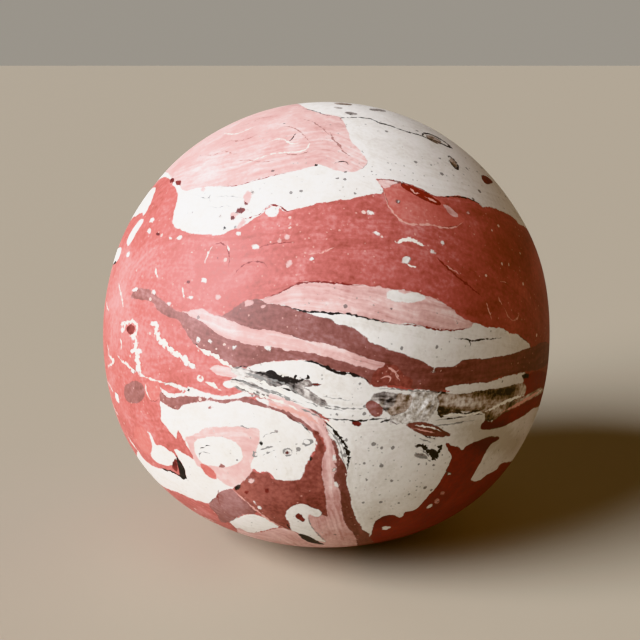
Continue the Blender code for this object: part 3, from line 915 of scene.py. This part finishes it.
        (323, 421.8), (329, 425.6), (336.8, 433.3), (343, 441), (347.4, 450), (348.3, 460.8), (346.8, 471),
    ]),
    "stem_grey": ("grey", 0.2, [(326, 428), (334, 436), (339.6, 445), (342, 455), (344.6, 464)]),
    "stem_grey_inner": ("grey", 0.17, [(333, 433.6), (340, 441.6), (344, 450), (345.4, 459)]),
    "stem_pale": ("white", 0.22, [(321, 417.6), (328, 422.4), (336, 429.6), (342.6, 436.6)]),
    "cove_arc": ("black", 0.24, [(199.6, 448.6), (203.3, 447.2), (207.4, 445.4), (212, 446.6)]),
    "cove_arc_low": ("grey", 0.24, [(211, 453.4), (206, 452.8), (202, 452), (199, 454.6), (200.4, 459.6)]),
    "cove_eye": ("grey", 0.26, ring(287.6, 452.2, 4.4, 3.8, first=20)),
    "cove_oval": ("grey", 0.34, ring(307.2, 442, 4.6, 3, first=200)),
    "cove_ring_small": ("grey", 0.3, ring(255.4, 454.6, 2, 2.4)),
    "cove_streak": ("grey", 0.3, [(260, 450.4), (266, 447.6), (274, 446.6)]),
    "cove_streak_low": ("grey", 0.24, [(262, 455.6), (269, 452.4), (275.6, 449.8)]),
    "cove_line": ("grey", 0.15, [(262, 438), (268, 434), (276, 432)]),
    "cove_top": ("grey", 0.17, [(233, 427), (240, 426), (247, 427.6), (256, 428)]),
    "cove_black": ("black", 0.4, [(160, 467), (164, 469.4), (170, 470.6), (176, 473.6), (182, 478)]),
    "sliver_seam": ("black", 0.15, [(286, 414), (295, 420.6), (304, 426.4), (311, 434)]),
    "brick_seam": ("rose", 0.34, [
        (232, 489), (240, 496), (249, 504), (259.6, 513), (270, 520.6), (286, 528.6),
    ]),
    "brick_notch": ("black", 0.24, [(286.6, 523), (288.6, 527), (292, 529.6)]),
    "cove_foot": ("maroon", 0.2, [(219, 490), (217.4, 496), (220.6, 507)]),
    "limb_low": ("white", 0.26, [(186, 508.6), (195, 512.6), (206, 518), (218, 522.6)]),
    "hook_seam": ("grey", 0.2, [(310, 515.6), (309, 520), (312, 527), (319, 535), (326, 541)]),
}
BACK_LINES = {
    "back_hairline": ("black", 0.3, [
        (196, 210), (226, 200), (256, 206), (288, 196), (322, 170), (356, 162), (392, 172), (420, 190),
    ]),
    "back_vein": ("white", 0.6, [
        (240, 330), (270, 340), (300, 336), (330, 344), (362, 338), (394, 342), (420, 334),
    ]),
    "back_vein_low": ("white", 0.45, [(300, 508), (340, 500), (380, 506), (414, 492), (440, 470)]),
    "back_seam": ("black", 0.28, [(236, 397), (262, 402), (292, 405), (320, 401), (344, 397), (370, 387)]),
    "back_streak": ("rose", 0.5, [(150, 318), (182, 322), (214, 332), (240, 350), (272, 358)]),
    "back_streak_low": ("maroon", 0.3, [(150, 440), (180, 456), (206, 476), (240, 500), (280, 516)]),
    "back_wisp": ("dusk", 0.3, [(440, 240), (456, 268), (484, 286), (500, 280)]),
}
LINE_COLOURS = {
    "black": "231D1A", "grey": "8A8782", "maroon": "7C3029", "rose": "DDA79A", "white": "F2ECE0",
    "dusk": "A97D75",
}

# Which way the pastes were drawn out: streaks run along the nearest of these
GRAIN = [
    (FRONT, [
        (150, 196), (176, 178), (215, 168), (255, 157), (300, 148), (330, 146), (362, 160), (400, 175),
        (450, 190), (505, 205),
    ]),
    (FRONT, [
        (118, 300), (140, 262), (175, 246), (230, 246), (300, 240), (360, 240), (420, 246), (470, 270),
        (515, 300), (540, 330),
    ]),
    (FRONT, [(262, 301), (310, 295), (360, 303), (420, 318), (470, 330), (528, 346)]),
    (FRONT, [
        (130, 292), (165, 308), (200, 325), (250, 340), (310, 352), (370, 372), (420, 380), (480, 374),
        (545, 355),
    ]),
    (FRONT, [
        (150, 380), (200, 372), (228, 375), (250, 380), (275, 388), (300, 400), (325, 410), (360, 412),
        (420, 408), (480, 402), (545, 385),
    ]),
    (FRONT, [(314, 414), (328, 440), (331, 470), (334, 500), (345, 530), (358, 552)]),
    (FRONT, [(150, 470), (190, 497), (230, 520), (290, 535), (320, 548)]),
    (FRONT, [(160, 425), (200, 425), (240, 420), (275, 435), (285, 462)]),
    (FRONT, [(500, 445), (470, 470), (440, 505), (400, 530)]),
    (BACK, [
        (120, 250), (200, 250), (260, 280), (300, 284), (350, 278), (400, 292), (450, 312), (520, 302),
    ]),
    (BACK, [(112, 356), (170, 356), (240, 386), (290, 392), (344, 384), (400, 362), (468, 360)]),
    (BACK, [(200, 430), (250, 442), (300, 462), (350, 460), (400, 444), (460, 428)]),
    (BACK, [(290, 200), (340, 194), (400, 216), (440, 236)]),
    (LEFT_SIDE, [(150, 364), (216, 368), (286, 398), (350, 386)]),
    (LEFT_SIDE, [(186, 450), (262, 456), (348, 452)]),
    (RIGHT_SIDE, [(330, 330), (392, 328), (476, 300)]),
    (RIGHT_SIDE, [(312, 460), (372, 450), (472, 434)]),
]

# Soft clouds over the pastes: what they change, centre x and y, half width, half height, lean, how much
CLOUDS = {
    # Tone of the pastes, with painted light and shade: the clouds at (118, 300), (150, 258), (150, 340),
    # (205, 168) and (215, 322) lighten the left as painted light, and those at (350, 240), (497, 440), (345,
    # 500) and (378, 516) darken the right and the underside as painted shade
    "tone_and_painted_light": [
        (504, 392, 22, 9, -12, -1.1), (388, 400, 14, 8, 0, -0.3), (424, 405, 20, 16, 0, 0.5),
        (284, 379, 34, 7, 15, -1.2), (246, 374, 20, 7, 15, 0.1), (310, 396, 26, 10, 30, 0.5),
        (118, 300, 34, 80, 0, 0.7), (215, 322, 36, 12, 25, 0.9), (205, 168, 44, 20, -30, 0.8),
        (230, 503, 30, 22, 30, 0.9), (222, 371, 16, 8, 0, 0.6), (374, 322, 44, 16, 10, -0.9),
        (440, 344, 44, 16, 10, 0.1), (384, 308, 40, 9, 12, -0.5), (340, 411, 14, 6, 20, 1.0),
        (350, 240, 50, 16, 0, -0.4), (497, 440, 28, 26, 0, -1.9), (378, 516, 26, 16, 0, -1.1),
        (345, 500, 30, 34, 0, -0.5), (268, 118, 50, 10, -20, -0.4), (374, 408, 14, 12, 0, 1.0),
        (460, 402, 28, 10, 0, 1.2), (150, 258, 34, 28, 0, 0.4), (468, 212, 44, 12, 15, -0.5),
        (524, 240, 16, 26, -30, -0.4), (250, 160, 44, 14, -15, 0.25), (335, 130, 30, 12, 10, -0.2),
        (150, 340, 44, 40, 0, 0.3),
    ],
    "worn": [
        (384, 403, 20, 12, 0, 0.8), (420, 407, 24, 18, 0, 1.1), (470, 398, 50, 12, -8, 0.5),
        (525, 376, 8, 7, 0, 0.7), (240, 215, 16, 12, 0, 0.3),
    ],
    "freckle": [
        (225, 345, 50, 22, 15, 0.7), (290, 230, 90, 30, 0, 0.5), (400, 490, 60, 50, 0, 0.9),
        (300, 190, 90, 20, 0, 0.3), (350, 384, 30, 12, 0, 0.8), (420, 170, 90, 30, 10, 0.6),
        (130, 340, 40, 30, 0, 0.8), (180, 240, 50, 20, 0, 0.6),
    ],
}

# Pastes: colours from dark to light, then how much the streaks, the clouds, the fine mottling, the drawn
# clouds of tone and of painted light and shade, and the deeper lower right side, partly painted shade, move
# them between those colours
PASTES = {
    "red": (("863F2F", "BA665E", "DC9E98"), (0.5, 0.6, 0.5, 0.35, -0.4)),
    "umber": (("643A30", "8E5B54", "B08480"), (0.7, 0.6, 0.6, 0.3, -0.35)),
    "rose": (("BE8880", "E0B8B0", "F6E6DF"), (1.2, 0.9, 0.4, 0.3, -0.35)),
    "bone": (("CBC2B4", "E8E3DB", "F4F1EC"), (0.6, 0.6, 0.4, 0.25, 0.0)),
    "ash": (("221E1B", "665E59", "9C928B", "CCC4BB", "ECE6DE"), (1.8, 0.8, 0.9, 0.45, 0.0)),
    "dun": (("2A2018", "75624F", "A99586", "CDBFB2", "E6DDD2"), (0.7, 1.5, 1.0, 0.4, 0.0)),
    "flake": (("7A7169", "BDB4AA", "E6E1DA", "F4F1EC"), (0.3, 0.8, 1.5, 0.3, 0.0)),
    "crimson": (("561510", "82281F", "A84236"), (0.5, 0.6, 0.5, 0.3, -0.12)),
    "black": (("0E0B0A", "1C1815", "4A403A"), (1.0, 0.6, 1.2, 0.2, 0.0)),
    "salmon": (("A85048", "C46E64", "DC9A90"), (0.5, 0.6, 0.5, 0.3, -0.2)),
    "brick": (("5E2C24", "8C4F46", "A9665A"), (0.6, 1.0, 0.9, 0.3, 0.0)),
    "maroon": (("3E1513", "6A2824", "8E4038"), (0.8, 1.0, 1.0, 0.2, 0.0)),
}
PASTE_TRIOS = [list(PASTES)[start:start + 3] for start in range(0, len(PASTES), 3)]
MIDDLE_TONE, TONE_ENDS = 0.5, (0.12, 0.88)


def surface_mm(places):
    """Millimetres on the ball for one unit of the flat map, at each of its places."""
    return BALL_RADIUS * 2 / (1 + (places**2).sum(-1))


def lay(fields, paste, near, signed):
    """Lays a patch of paste over what is there. Signed is millimetres to its edge, negative inside."""
    signed = np.clip(signed, -FIELD_CAP, FIELD_CAP)
    for other, field in fields.items():
        if other == paste:
            field[near] = np.minimum(field[near], signed)
        else:
            field[near] = np.maximum(field[near], -signed)


def oval_reach(places, x, y, across, up, lean):
    """How far the places are from an oval's middle, as a share of its rim, and its mean radius in mm."""
    turn = math.radians(lean)
    arms = np.array([
        (0, 0),
        (across * math.cos(turn), across * math.sin(turn)),
        (-up * math.sin(turn), up * math.cos(turn)),
    ])
    middle, along, aside = flattened(on_ball(arms + (x, y), FRONT), FRONT)
    arms = np.stack((along - middle, aside - middle))
    reach = np.hypot(*((places - middle) @ np.linalg.inv(arms)).T)
    return reach, math.sqrt(abs(np.linalg.det(arms))) * surface_mm(middle)


def paste_fields(directions):
    """For each paste, millimetres from each direction to the paste's edge, negative inside it."""
    noise.seed_set(FRAY_SEED)
    fields = {paste: np.full(len(directions), FIELD_CAP) for paste in PASTES}
    fields["red"] *= -1
    for paste, view, outline in MARBLING.values():
        places = flattened(directions, view)
        steps = CURVE_STEPS if view is FRONT else FAR_EDGE_STEPS
        path = smoothed(flattened(on_ball(outline, view), view), closed=True, steps=steps)
        path = path if view is FRONT else frayed(path)
        near = near_path(places, path, FIELD_CAP / BALL_RADIUS)
        distance, _, _, _, inside = along_path(places[near], path, closed=True)
        lay(fields, paste, near, np.where(inside, -distance, distance) * surface_mm(places[near]))
    places = flattened(directions, FRONT)
    for paste, crumbs in CRUMBS.items():
        for crumb in crumbs:
            reach, radius = oval_reach(places, *crumb)
            signed = (reach - 1) * radius * CRUMB_SOFTNESS
            near = np.nonzero(signed < FIELD_CAP)[0]
            lay(fields, paste, near, signed[near])
    return fields


def cloud_fields(directions):
    """How strongly each kind of cloud lies over each direction."""
    fields = {kind: np.zeros(len(directions)) for kind in CLOUDS}
    places = flattened(directions, FRONT)
    for kind, drawn in CLOUDS.items():
        for *cloud, amount in drawn:
            fields[kind] += amount * bump(oval_reach(places, *cloud)[0], 1)
    return fields


def grain_fields(directions):
    """Millimetres along and across the nearest grain path, and how firmly the streaks hold to it."""
    nearest, second = np.full((2, len(directions)), GRAIN_REACH)
    along, across = np.zeros((2, len(directions)))
    for number, (view, points) in enumerate(GRAIN):
        places = flattened(directions, view)
        path = smoothed(flattened(on_ball(points, view), view), closed=False)
        near = near_path(places, path, GRAIN_REACH / BALL_RADIUS)
        distance, run, aside, _, _ = along_path(places[near], path)
        gap, other = distance * surface_mm(places[near]), nearest[near]
        closer = gap < other
        second[near] = np.minimum(second[near], np.maximum(gap, other))
        nearest[near] = np.minimum(gap, other)
        along[near] = np.where(closer, (run + number) * BALL_RADIUS * MAP_UNIT, along[near])
        across[near] = np.where(closer, aside * surface_mm(places[near]), across[near])
    hold = np.clip((second - nearest) / GRAIN_BLEND, 0, 1) * bump(nearest, GRAIN_REACH)
    return along, across, hold


def line_layers(directions):
    """The fine lines, shared out so that no two in one layer come near each other.

    A layer holds signed millimetres from the line, its half width there and its colour, as a number up to 1.
    """
    layers = []
    drawn = [(FRONT, line) for line in LINES.values()] + [(BACK, line) for line in BACK_LINES.values()]
    for view, (colour, half_width, points) in drawn:
        places = flattened(directions, view)
        path = smoothed(flattened(on_ball(points, view), view), closed=False)
        near = near_path(places, path, 3 * LINE_CLEAR / BALL_RADIUS)
        distance, run, aside, past, _ = along_path(places[near], path)
        scale = surface_mm(places[near])
        share = np.clip(run / np.hypot(*np.diff(path, axis=0).T).sum(), 0, 1)
        width = half_width * (1 - np.abs(2 * share - 1) ** LINE_TAPER) - past * scale
        wide = near[distance * scale < half_width + 2 * LINE_CLEAR]
        held = distance * scale < half_width + LINE_CLEAR
        layer = next((layer for layer in layers if not layer["taken"][wide].any()), None)
        if layer is None:
            count = len(directions)
            layer = {
                "taken": np.zeros(count, bool), "aside": np.zeros(count),
                "width": np.full(count, -FIELD_CAP), "colour": np.zeros(count),
            }
            layers.append(layer)
        layer["taken"][wide] = True
        layer["aside"][near[held]] = (aside * scale)[held]
        layer["width"][near[held]] = width[held]
        layer["colour"][near[held]] = (list(LINE_COLOURS).index(colour) + 0.5) / len(LINE_COLOURS)
    return [(layer["aside"], layer["width"], layer["colour"]) for layer in layers]


def ball_directions(mesh):
    """Blows a gridded cube up to a ball, its points drawn towards the front. Returns unit directions."""
    bmesh.ops.create_cube(mesh, size=2)
    bmesh.ops.subdivide_edges(mesh, edges=mesh.edges[:], cuts=GRID - 1, use_grid_fill=True)
    cube = np.array([vertex.co for vertex in mesh.verts])
    cube = np.tan(cube * math.pi / 4)
    cube /= np.linalg.norm(cube, axis=1)[:, None]
    across = np.hypot(cube[:, 0], cube[:, 1])
    from_front = 2 * np.arctan2(FRONT_ZOOM * np.sqrt((1 - cube[:, 2]) / 2), np.sqrt((1 + cube[:, 2]) / 2))
    cube[:, :2] *= (np.sin(from_front) / np.maximum(across, 1e-9))[:, None]
    cube[:, 2] = np.cos(from_front)
    return cube @ FRONT


def relief(directions, worn):
    """Millimetres that the surface stands out: slow waves left by hand polishing, and crumbly worn places."""
    height = np.zeros(len(directions))
    for heading, tilt in POLISH_WAVES:
        height += POLISH_HEIGHT * np.cos(directions @ compass(heading, tilt) * BALL_RADIUS / POLISH_LENGTH)
    for number in np.nonzero(worn > WORN_FROM)[0]:
        crumb = noise.noise(Vector(directions[number]) * BALL_RADIUS / CRUMB_SIZE)
        height[number] += worn[number] * CRUMB_HEIGHT * (crumb - CRUMB_SINK)
    return height


def keep(data, name, *columns):
    """Keeps three columns of numbers on the mesh's points, under one name."""
    attribute = data.attributes.new(name, "FLOAT_VECTOR", "POINT")
    attribute.data.foreach_set("vector", np.stack(columns, 1).astype(np.float32).ravel())


def make_ball():
    """The ball as one closed mesh, with its marbling kept as numbers on its points."""
    mesh = bmesh.new()
    directions = ball_directions(mesh)
    clouds = cloud_fields(directions)
    radius = form_radius(directions) + relief(directions, clouds["worn"])
    points = directions * radius[:, None]
    points[:, 2] = np.maximum(points[:, 2], -FOOT_DEPTH) + FOOT_DEPTH
    for vertex, point in zip(mesh.verts, points * MM):
        vertex.co = point
    data = bpy.data.meshes.new("marbled_ball")
    mesh.to_mesh(data)
    mesh.free()
    data.shade_smooth()
    fields = paste_fields(directions)
    for number, names in enumerate(PASTE_TRIOS):
        keep(data, f"pastes_{number}", *(fields[name] for name in names))
    keep(data, "clouds", *clouds.values())
    keep(data, "grain", *grain_fields(directions))
    layers = line_layers(directions)
    for number, layer in enumerate(layers):
        keep(data, f"lines_{number}", *layer)
    data.materials.append(scagliola(len(layers)))
    ball = bpy.data.objects.new("marbled_ball", data)
    bpy.context.scene.collection.objects.link(ball)
    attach(ball, "root")
    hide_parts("ball")


def paint(hex_colour):
    """An sRGB hex colour as the linear colour that a shader takes."""
    channels = [int(hex_colour[start:start + 2], 16) / 255 for start in (0, 2, 4)]
    return (*((c / 12.92 if c <= 0.04045 else ((c + 0.055) / 1.055) ** 2.4) for c in channels), 1.0)


def add(tree, kind, inputs=(), out=0, stops=(), ramp="LINEAR", **settings):
    """One node, with its settings, plain values and links. Returns the output that is asked for."""
    made = tree.nodes.new("ShaderNode" + kind)
    for name, value in settings.items():
        setattr(made, name, value)
    for name, value in dict(inputs).items():
        if isinstance(value, bpy.types.NodeSocket):
            tree.links.new(value, made.inputs[name])
        else:
            made.inputs[name].default_value = value
    for number, (place, colour) in enumerate(stops):
        made.color_ramp.interpolation = ramp
        stop = made.color_ramp.elements[number] if number < 2 else made.color_ramp.elements.new(place)
        stop.position, stop.color = place, colour
    return made.outputs[out]


def paste_colours(tree, place, clouds):
    """A colour for each paste, which moves between its dark and its light, then the mottling, and how much of
    the painted warm shade tint the lower right takes."""
    grain = add(tree, "Attribute", out=1, attribute_name="grain")
    hold = add(tree, "SeparateXYZ", {0: grain}, out=2)
    waver = add(tree, "TexNoise", {"Vector": place, "Scale": 1 / WAVER_SIZE, "Detail": 2.0}, out=1)
    streak_size = (1 / STREAK_LENGTH, 1 / STREAK_WIDTH, 0)
    drawn = add(tree, "VectorMath", {0: grain, 1: streak_size}, operation="MULTIPLY")
    drawn = add(tree, "VectorMath", {0: waver, 1: (WAVER, WAVER, 0), 2: drawn}, operation="MULTIPLY_ADD")
    streak = add(tree, "TexNoise", {"Vector": drawn, "Scale": 1.0, "Detail": 3.0, "Roughness": 0.6})
    streak = add(tree, "Math", {0: streak, 1: NOISE_MEAN}, operation="SUBTRACT")
    streak = add(tree, "Math", {0: streak, 1: hold}, operation="MULTIPLY")
    cloud = add(tree, "TexNoise", {
        "Vector": place, "Scale": 1 / CLOUD_SIZE, "Detail": 4.0, "Roughness": 0.6, "Distortion": 0.8,
    })
    cloud = add(tree, "Math", {0: cloud, 1: NOISE_MEAN}, operation="SUBTRACT")
    mottle = add(tree, "TexNoise", {"Vector": place, "Scale": 1 / MOTTLE_SIZE, "Detail": 2.0})
    mottle = add(tree, "Math", {0: mottle, 1: NOISE_MEAN}, operation="SUBTRACT")
    # The lower right side: the pastes deepen there, partly in their own colour and partly as painted shade,
    # and take a tint of painted warm shade
    sideways = add(tree, "VectorMath", {0: place, 1: DEEPER_AND_SHADED_SIDE}, out=1, operation="DOT_PRODUCT")
    deeper_paste_and_shade, painted_warm_shade = (
        add(tree, "MapRange", {"Value": sideways, "From Min": start, "From Max": start + DEEPER_AND_SHADED_SPAN})
        for start in (DEEPER_PASTE_AND_SHADE_FROM, PAINTED_WARM_SHADE_FROM)
    )
    colours = {}
    # Each paste's tone also moves with the drawn clouds, some of which are painted light at the left and
    # painted shade at the right and underside
    for paste, (tones, moves) in PASTES.items():
        level = MIDDLE_TONE
        for value, move in zip((streak, cloud, mottle, clouds["tone_and_painted_light"], deeper_paste_and_shade), moves):
            level = add(tree, "Math", {0: value, 1: move, 2: level}, operation="MULTIPLY_ADD")
        stops = [(spot, paint(tone)) for spot, tone in zip(np.linspace(*TONE_ENDS, len(tones)), tones)]
        colours[paste] = add(tree, "ValToRGB", {0: level}, stops=stops)
    return colours, mottle, painted_warm_shade


def picked_paste(tree, place, colours):
    """The colour of the paste that lies at each place, and how near its seam is in millimetres."""
    colour = best = second = None
    for number, names in enumerate(PASTE_TRIOS):
        field = add(tree, "Attribute", out=1, attribute_name=f"pastes_{number}")
        wander = add(tree, "TexNoise", {
            "Vector": place, "W": number * WANDER_SHIFT, "Scale": 1 / WANDER_SIZE,
            "Detail": 4.0, "Roughness": 0.72,
        }, out=1, noise_dimensions="4D")
        field = add(tree, "VectorMath", {0: wander, 1: (WANDER,) * 3, 2: field}, operation="MULTIPLY_ADD")
        edges = add(tree, "SeparateXYZ", {0: field}).node.outputs
        for name, edge in zip(names, edges):
            if best is None:
                colour, best, second = colours[name], edge, 2 * FIELD_CAP
                continue
            lead = add(tree, "Math", {0: best, 1: edge}, operation="SUBTRACT")
            share = add(tree, "MapRange", {"Value": lead, "From Min": -EDGE_BLUR, "From Max": EDGE_BLUR})
            colour = add(tree, "Mix", {0: share, 6: colour, 7: colours[name]}, out=2, data_type="RGBA")
            loser = add(tree, "Math", {0: best, 1: edge}, operation="MAXIMUM")
            second = add(tree, "Math", {0: second, 1: loser}, operation="MINIMUM")
            best = add(tree, "Math", {0: best, 1: edge}, operation="MINIMUM")
    seam = add(tree, "Math", {0: second, 1: best}, operation="SUBTRACT")
    return colour, seam


def dots(tree, place, size, radius, density):
    """Scattered specks: a share of the cells, each with a round dot of its own size."""
    cell = add(tree, "TexVoronoi", {"Vector": place, "Scale": 1 / size}).node.outputs
    random = add(tree, "SeparateColor", {0: cell["Color"]}).node.outputs
    chosen = add(tree, "Math", {0: random[0], 1: density}, operation="LESS_THAN")
    grown = add(tree, "MapRange", {
        "Value": random[1], "To Min": radius * SMALLEST_DOT / size, "To Max": radius / size,
    })
    blur = DOT_BLUR / size
    inside = add(tree, "Math", {0: grown, 1: cell["Distance"]}, operation="SUBTRACT")
    inside = add(tree, "MapRange", {"Value": inside, "From Min": -blur, "From Max": blur})
    return add(tree, "Math", {0: inside, 1: chosen}, operation="MULTIPLY")


def scagliola(line_count):
    """Scagliola: kneaded gypsum pastes with slurry in their seams, ground round and waxed.

    The eye gets flat, chalky colours that meet in crisp ragged edges, streaks where a paste was drawn out,
    pale and dark grit, dark hairlines, painted light at the left, painted shade at the lower right, and the
    low sheen of wax over it all.
    """
    material = bpy.data.materials.new("scagliola")
    material.use_nodes = True
    tree = material.node_tree
    surface = tree.nodes["Principled BSDF"]
    place = add(tree, "TexCoord", out=3)
    place = add(tree, "VectorMath", {0: place, "Scale": 1 / MM}, operation="SCALE")
    clouds = add(tree, "Attribute", out=1, attribute_name="clouds")
    clouds = add(tree, "SeparateXYZ", {0: clouds}).node.outputs
    clouds = dict(zip(CLOUDS, clouds))
    colours, mottle, painted_warm_shade = paste_colours(tree, place, clouds)

    # Grit: pale crumbs in the red and brown pastes, slurry specks in the white and rose ones
    jolt = add(tree, "TexNoise", {"Vector": place, "Scale": 1 / SPECK_JOLT_SIZE, "Detail": 1.0}, out=1)
    jolted = add(tree, "VectorMath", {0: jolt, 1: (SPECK_JOLT,) * 3, 2: place}, operation="MULTIPLY_ADD")
    for names, size, radius, least, added, tint, strength in GRIT:
        density = add(tree, "Math", {0: clouds["freckle"], 1: added, 2: least}, operation="MULTIPLY_ADD")
        speck = dots(tree, jolted, size, radius, density)
        speck = add(tree, "Math", {0: speck, 1: strength}, operation="MULTIPLY")
        for name in names:
            mixed = {0: speck, 6: colours[name], 7: paint(tint)}
            colours[name] = add(tree, "Mix", mixed, out=2, data_type="RGBA")
    colour, seam = picked_paste(tree, place, colours)
    # Painted warm shade: the lower right is multiplied by a warm brown tint
    mixed = {0: painted_warm_shade, 6: colour, 7: paint(PAINTED_WARM_SHADE_TINT)}
    colour = add(tree, "Mix", mixed, out=2, data_type="RGBA", blend_type="MULTIPLY")

    # Slurry caught in the seams, here and there
    broken = add(tree, "TexNoise", {"Vector": place, "Scale": 1 / SEAM_PATCH, "Detail": 2.0})
    low, high = SEAM_FOUND
    width = add(tree, "MapRange", {"Value": broken, "From Min": low, "From Max": high, "To Max": SEAM_WIDTH})
    dark = add(tree, "Math", {0: width, 1: seam}, operation="SUBTRACT")
    dark = add(tree, "MapRange", {"Value": dark, "From Max": SEAM_BLUR, "To Max": SEAM_STRENGTH})
    colour = add(tree, "Mix", {0: dark, 6: colour, 7: paint(SLURRY)}, out=2, data_type="RGBA")

    # Fine lines, their edges and widths uneven
    tones = enumerate(LINE_COLOURS.values())
    stops = [(number / len(LINE_COLOURS), paint(tone)) for number, tone in tones]
    uneven = add(tree, "TexNoise", {"Vector": place, "Scale": 1 / LINE_GRAIN, "Detail": 2.0}, out=1)
    uneven = add(tree, "SeparateColor", {0: uneven}).node.outputs
    shake = add(tree, "MapRange", {"Value": uneven[0], "To Min": -LINE_SHAKE, "To Max": LINE_SHAKE})
    (low, high), (thin, thick) = LINE_SWELL_FROM, LINE_SWELL
    swell = add(tree, "MapRange", {
        "Value": uneven[1], "From Min": low, "From Max": high, "To Min": thin, "To Max": thick,
    })
    outer, inner = LINE_EDGE
    for number in range(line_count):
        line = add(tree, "Attribute", out=1, attribute_name=f"lines_{number}")
        aside, width, tone = add(tree, "SeparateXYZ", {0: line}).node.outputs
        aside = add(tree, "Math", {0: aside, 1: shake}, operation="ADD")
        aside = add(tree, "Math", {0: aside}, operation="ABSOLUTE")
        width = add(tree, "Math", {0: width, 1: swell}, operation="MULTIPLY")
        inside = add(tree, "Math", {0: width, 1: aside}, operation="SUBTRACT")
        inside = add(tree, "MapRange", {"Value": inside, "From Min": outer, "From Max": inner})
        tone = add(tree, "ValToRGB", {0: tone}, stops=stops, ramp="CONSTANT")
        colour = add(tree, "Mix", {0: inside, 6: colour, 7: tone}, out=2, data_type="RGBA")
    tree.links.new(colour, surface.inputs["Base Color"])

    # Wax sheen, and the relief of worn, crumbly places and pinholes
    rough = add(tree, "Math", {0: mottle, 1: MOTTLE_ROUGHNESS, 2: SHEEN_ROUGHNESS}, operation="MULTIPLY_ADD")
    rough = add(tree, "Math", {0: clouds["worn"], 1: WORN_ROUGHNESS, 2: rough}, operation="MULTIPLY_ADD")
    tree.links.new(rough, surface.inputs["Roughness"])
    surface.inputs["IOR"].default_value = WAXED_GYPSUM_IOR
    flakes = add(tree, "TexNoise", {
        "Vector": place, "Scale": 1 / FLAKE_SIZE, "Detail": 3.0, "Roughness": 0.7,
    })
    height = add(tree, "Math", {0: flakes, 1: clouds["worn"]}, operation="MULTIPLY")
    height = add(tree, "Math", {0: mottle, 1: MOTTLE_HEIGHT, 2: height}, operation="MULTIPLY_ADD")
    pits = dots(tree, jolted, PINHOLE_CELL, PINHOLE_RADIUS, PINHOLE_SHARE)
    pits = add(tree, "Math", {0: pits, 1: PINHOLE_DEPTH}, operation="MULTIPLY")
    height = add(tree, "Math", {0: height, 1: pits}, operation="SUBTRACT")
    normal = add(tree, "Bump", {"Height": height, "Distance": BUMP_METRES, "Strength": BUMP_STRENGTH})
    tree.links.new(normal, surface.inputs["Normal"])
    return material


def studio():
    """A pale floor, a wide soft light from the left, a weak warm one from the right, and a plain room that is
    lighter towards its back and along the horizon."""
    floor_mesh = bpy.data.meshes.new("floor")
    corners = [(x * FLOOR_REACH, y * FLOOR_REACH, 0) for x, y in ((-1, -1), (1, -1), (1, 1), (-1, 1))]
    floor_mesh.from_pydata(corners, [], [range(4)])
    floor = bpy.data.objects.new("floor", floor_mesh)
    bpy.context.scene.collection.objects.link(floor)
    # Painted board: the eye gets a plain, even, pale ground without gloss
    material = bpy.data.materials.new("painted_board")
    material.use_nodes = True
    surface = material.node_tree.nodes["Principled BSDF"]
    surface.inputs["Base Color"].default_value = paint(FLOOR_COLOUR)
    surface.inputs["Roughness"].default_value = FLOOR_ROUGHNESS
    floor_mesh.materials.append(material)
    centre = Vector((0, 0, FOOT_DEPTH * MM))
    for name, (toward, width, power, colour) in LAMPS.items():
        lamp = bpy.data.lights.new(name, "SUN")
        lamp.angle = math.radians(width)
        lamp.energy = power
        lamp.color = paint(colour)[:3]
        holder = bpy.data.objects.new(name, lamp)
        holder.location = centre + Vector(toward)
        holder.rotation_euler = (-Vector(toward)).to_track_quat("-Z", "Y").to_euler()
        bpy.context.scene.collection.objects.link(holder)
    world = bpy.data.worlds.new("room")
    world.use_nodes = True
    room = world.node_tree
    _, backward, upward = add(room, "SeparateXYZ", {0: add(room, "TexCoord")}).node.outputs
    back = add(room, "MapRange", {
        "Value": backward, "From Min": BACK_FROM, "To Min": ROOM_LIGHT, "To Max": BACK_LIGHT,
    })
    low, high = HORIZON_FADES
    horizon = add(room, "MapRange", {
        "Value": upward, "From Min": low, "From Max": high, "To Min": HORIZON_LIGHT, "To Max": ROOM_LIGHT,
    })
    light = add(room, "Math", {0: back, 1: horizon}, operation="MAXIMUM")
    room.nodes["Background"].inputs["Color"].default_value = paint(ROOM_COLOUR)
    room.links.new(light, room.nodes["Background"].inputs["Strength"])
    bpy.context.scene.world = world


def make_camera():
    """The camera that sees the ball as the photograph does."""
    camera = bpy.data.cameras.new("camera")
    camera.sensor_width = SENSOR
    camera.lens = FOCAL_PX * SENSOR / PHOTO_SIDE
    camera.shift_x = (PHOTO_SIDE / 2 - BALL_PX[0]) / PHOTO_SIDE
    camera.shift_y = (BALL_PX[1] - PHOTO_SIDE / 2) / PHOTO_SIDE
    camera.clip_start, camera.clip_end = 0.01, 50
    holder = bpy.data.objects.new("camera", camera)
    toward = Vector(FRONT[2])
    holder.location = Vector((0, 0, FOOT_DEPTH * MM)) + toward * DISTANCE * MM
    holder.rotation_euler = (-toward).to_track_quat("-Z", "Y").to_euler()
    bpy.context.scene.collection.objects.link(holder)
    bpy.context.scene.camera = holder


make_ball()
studio()
make_camera()
bpy.context.scene.view_settings.view_transform = "Khronos PBR Neutral"
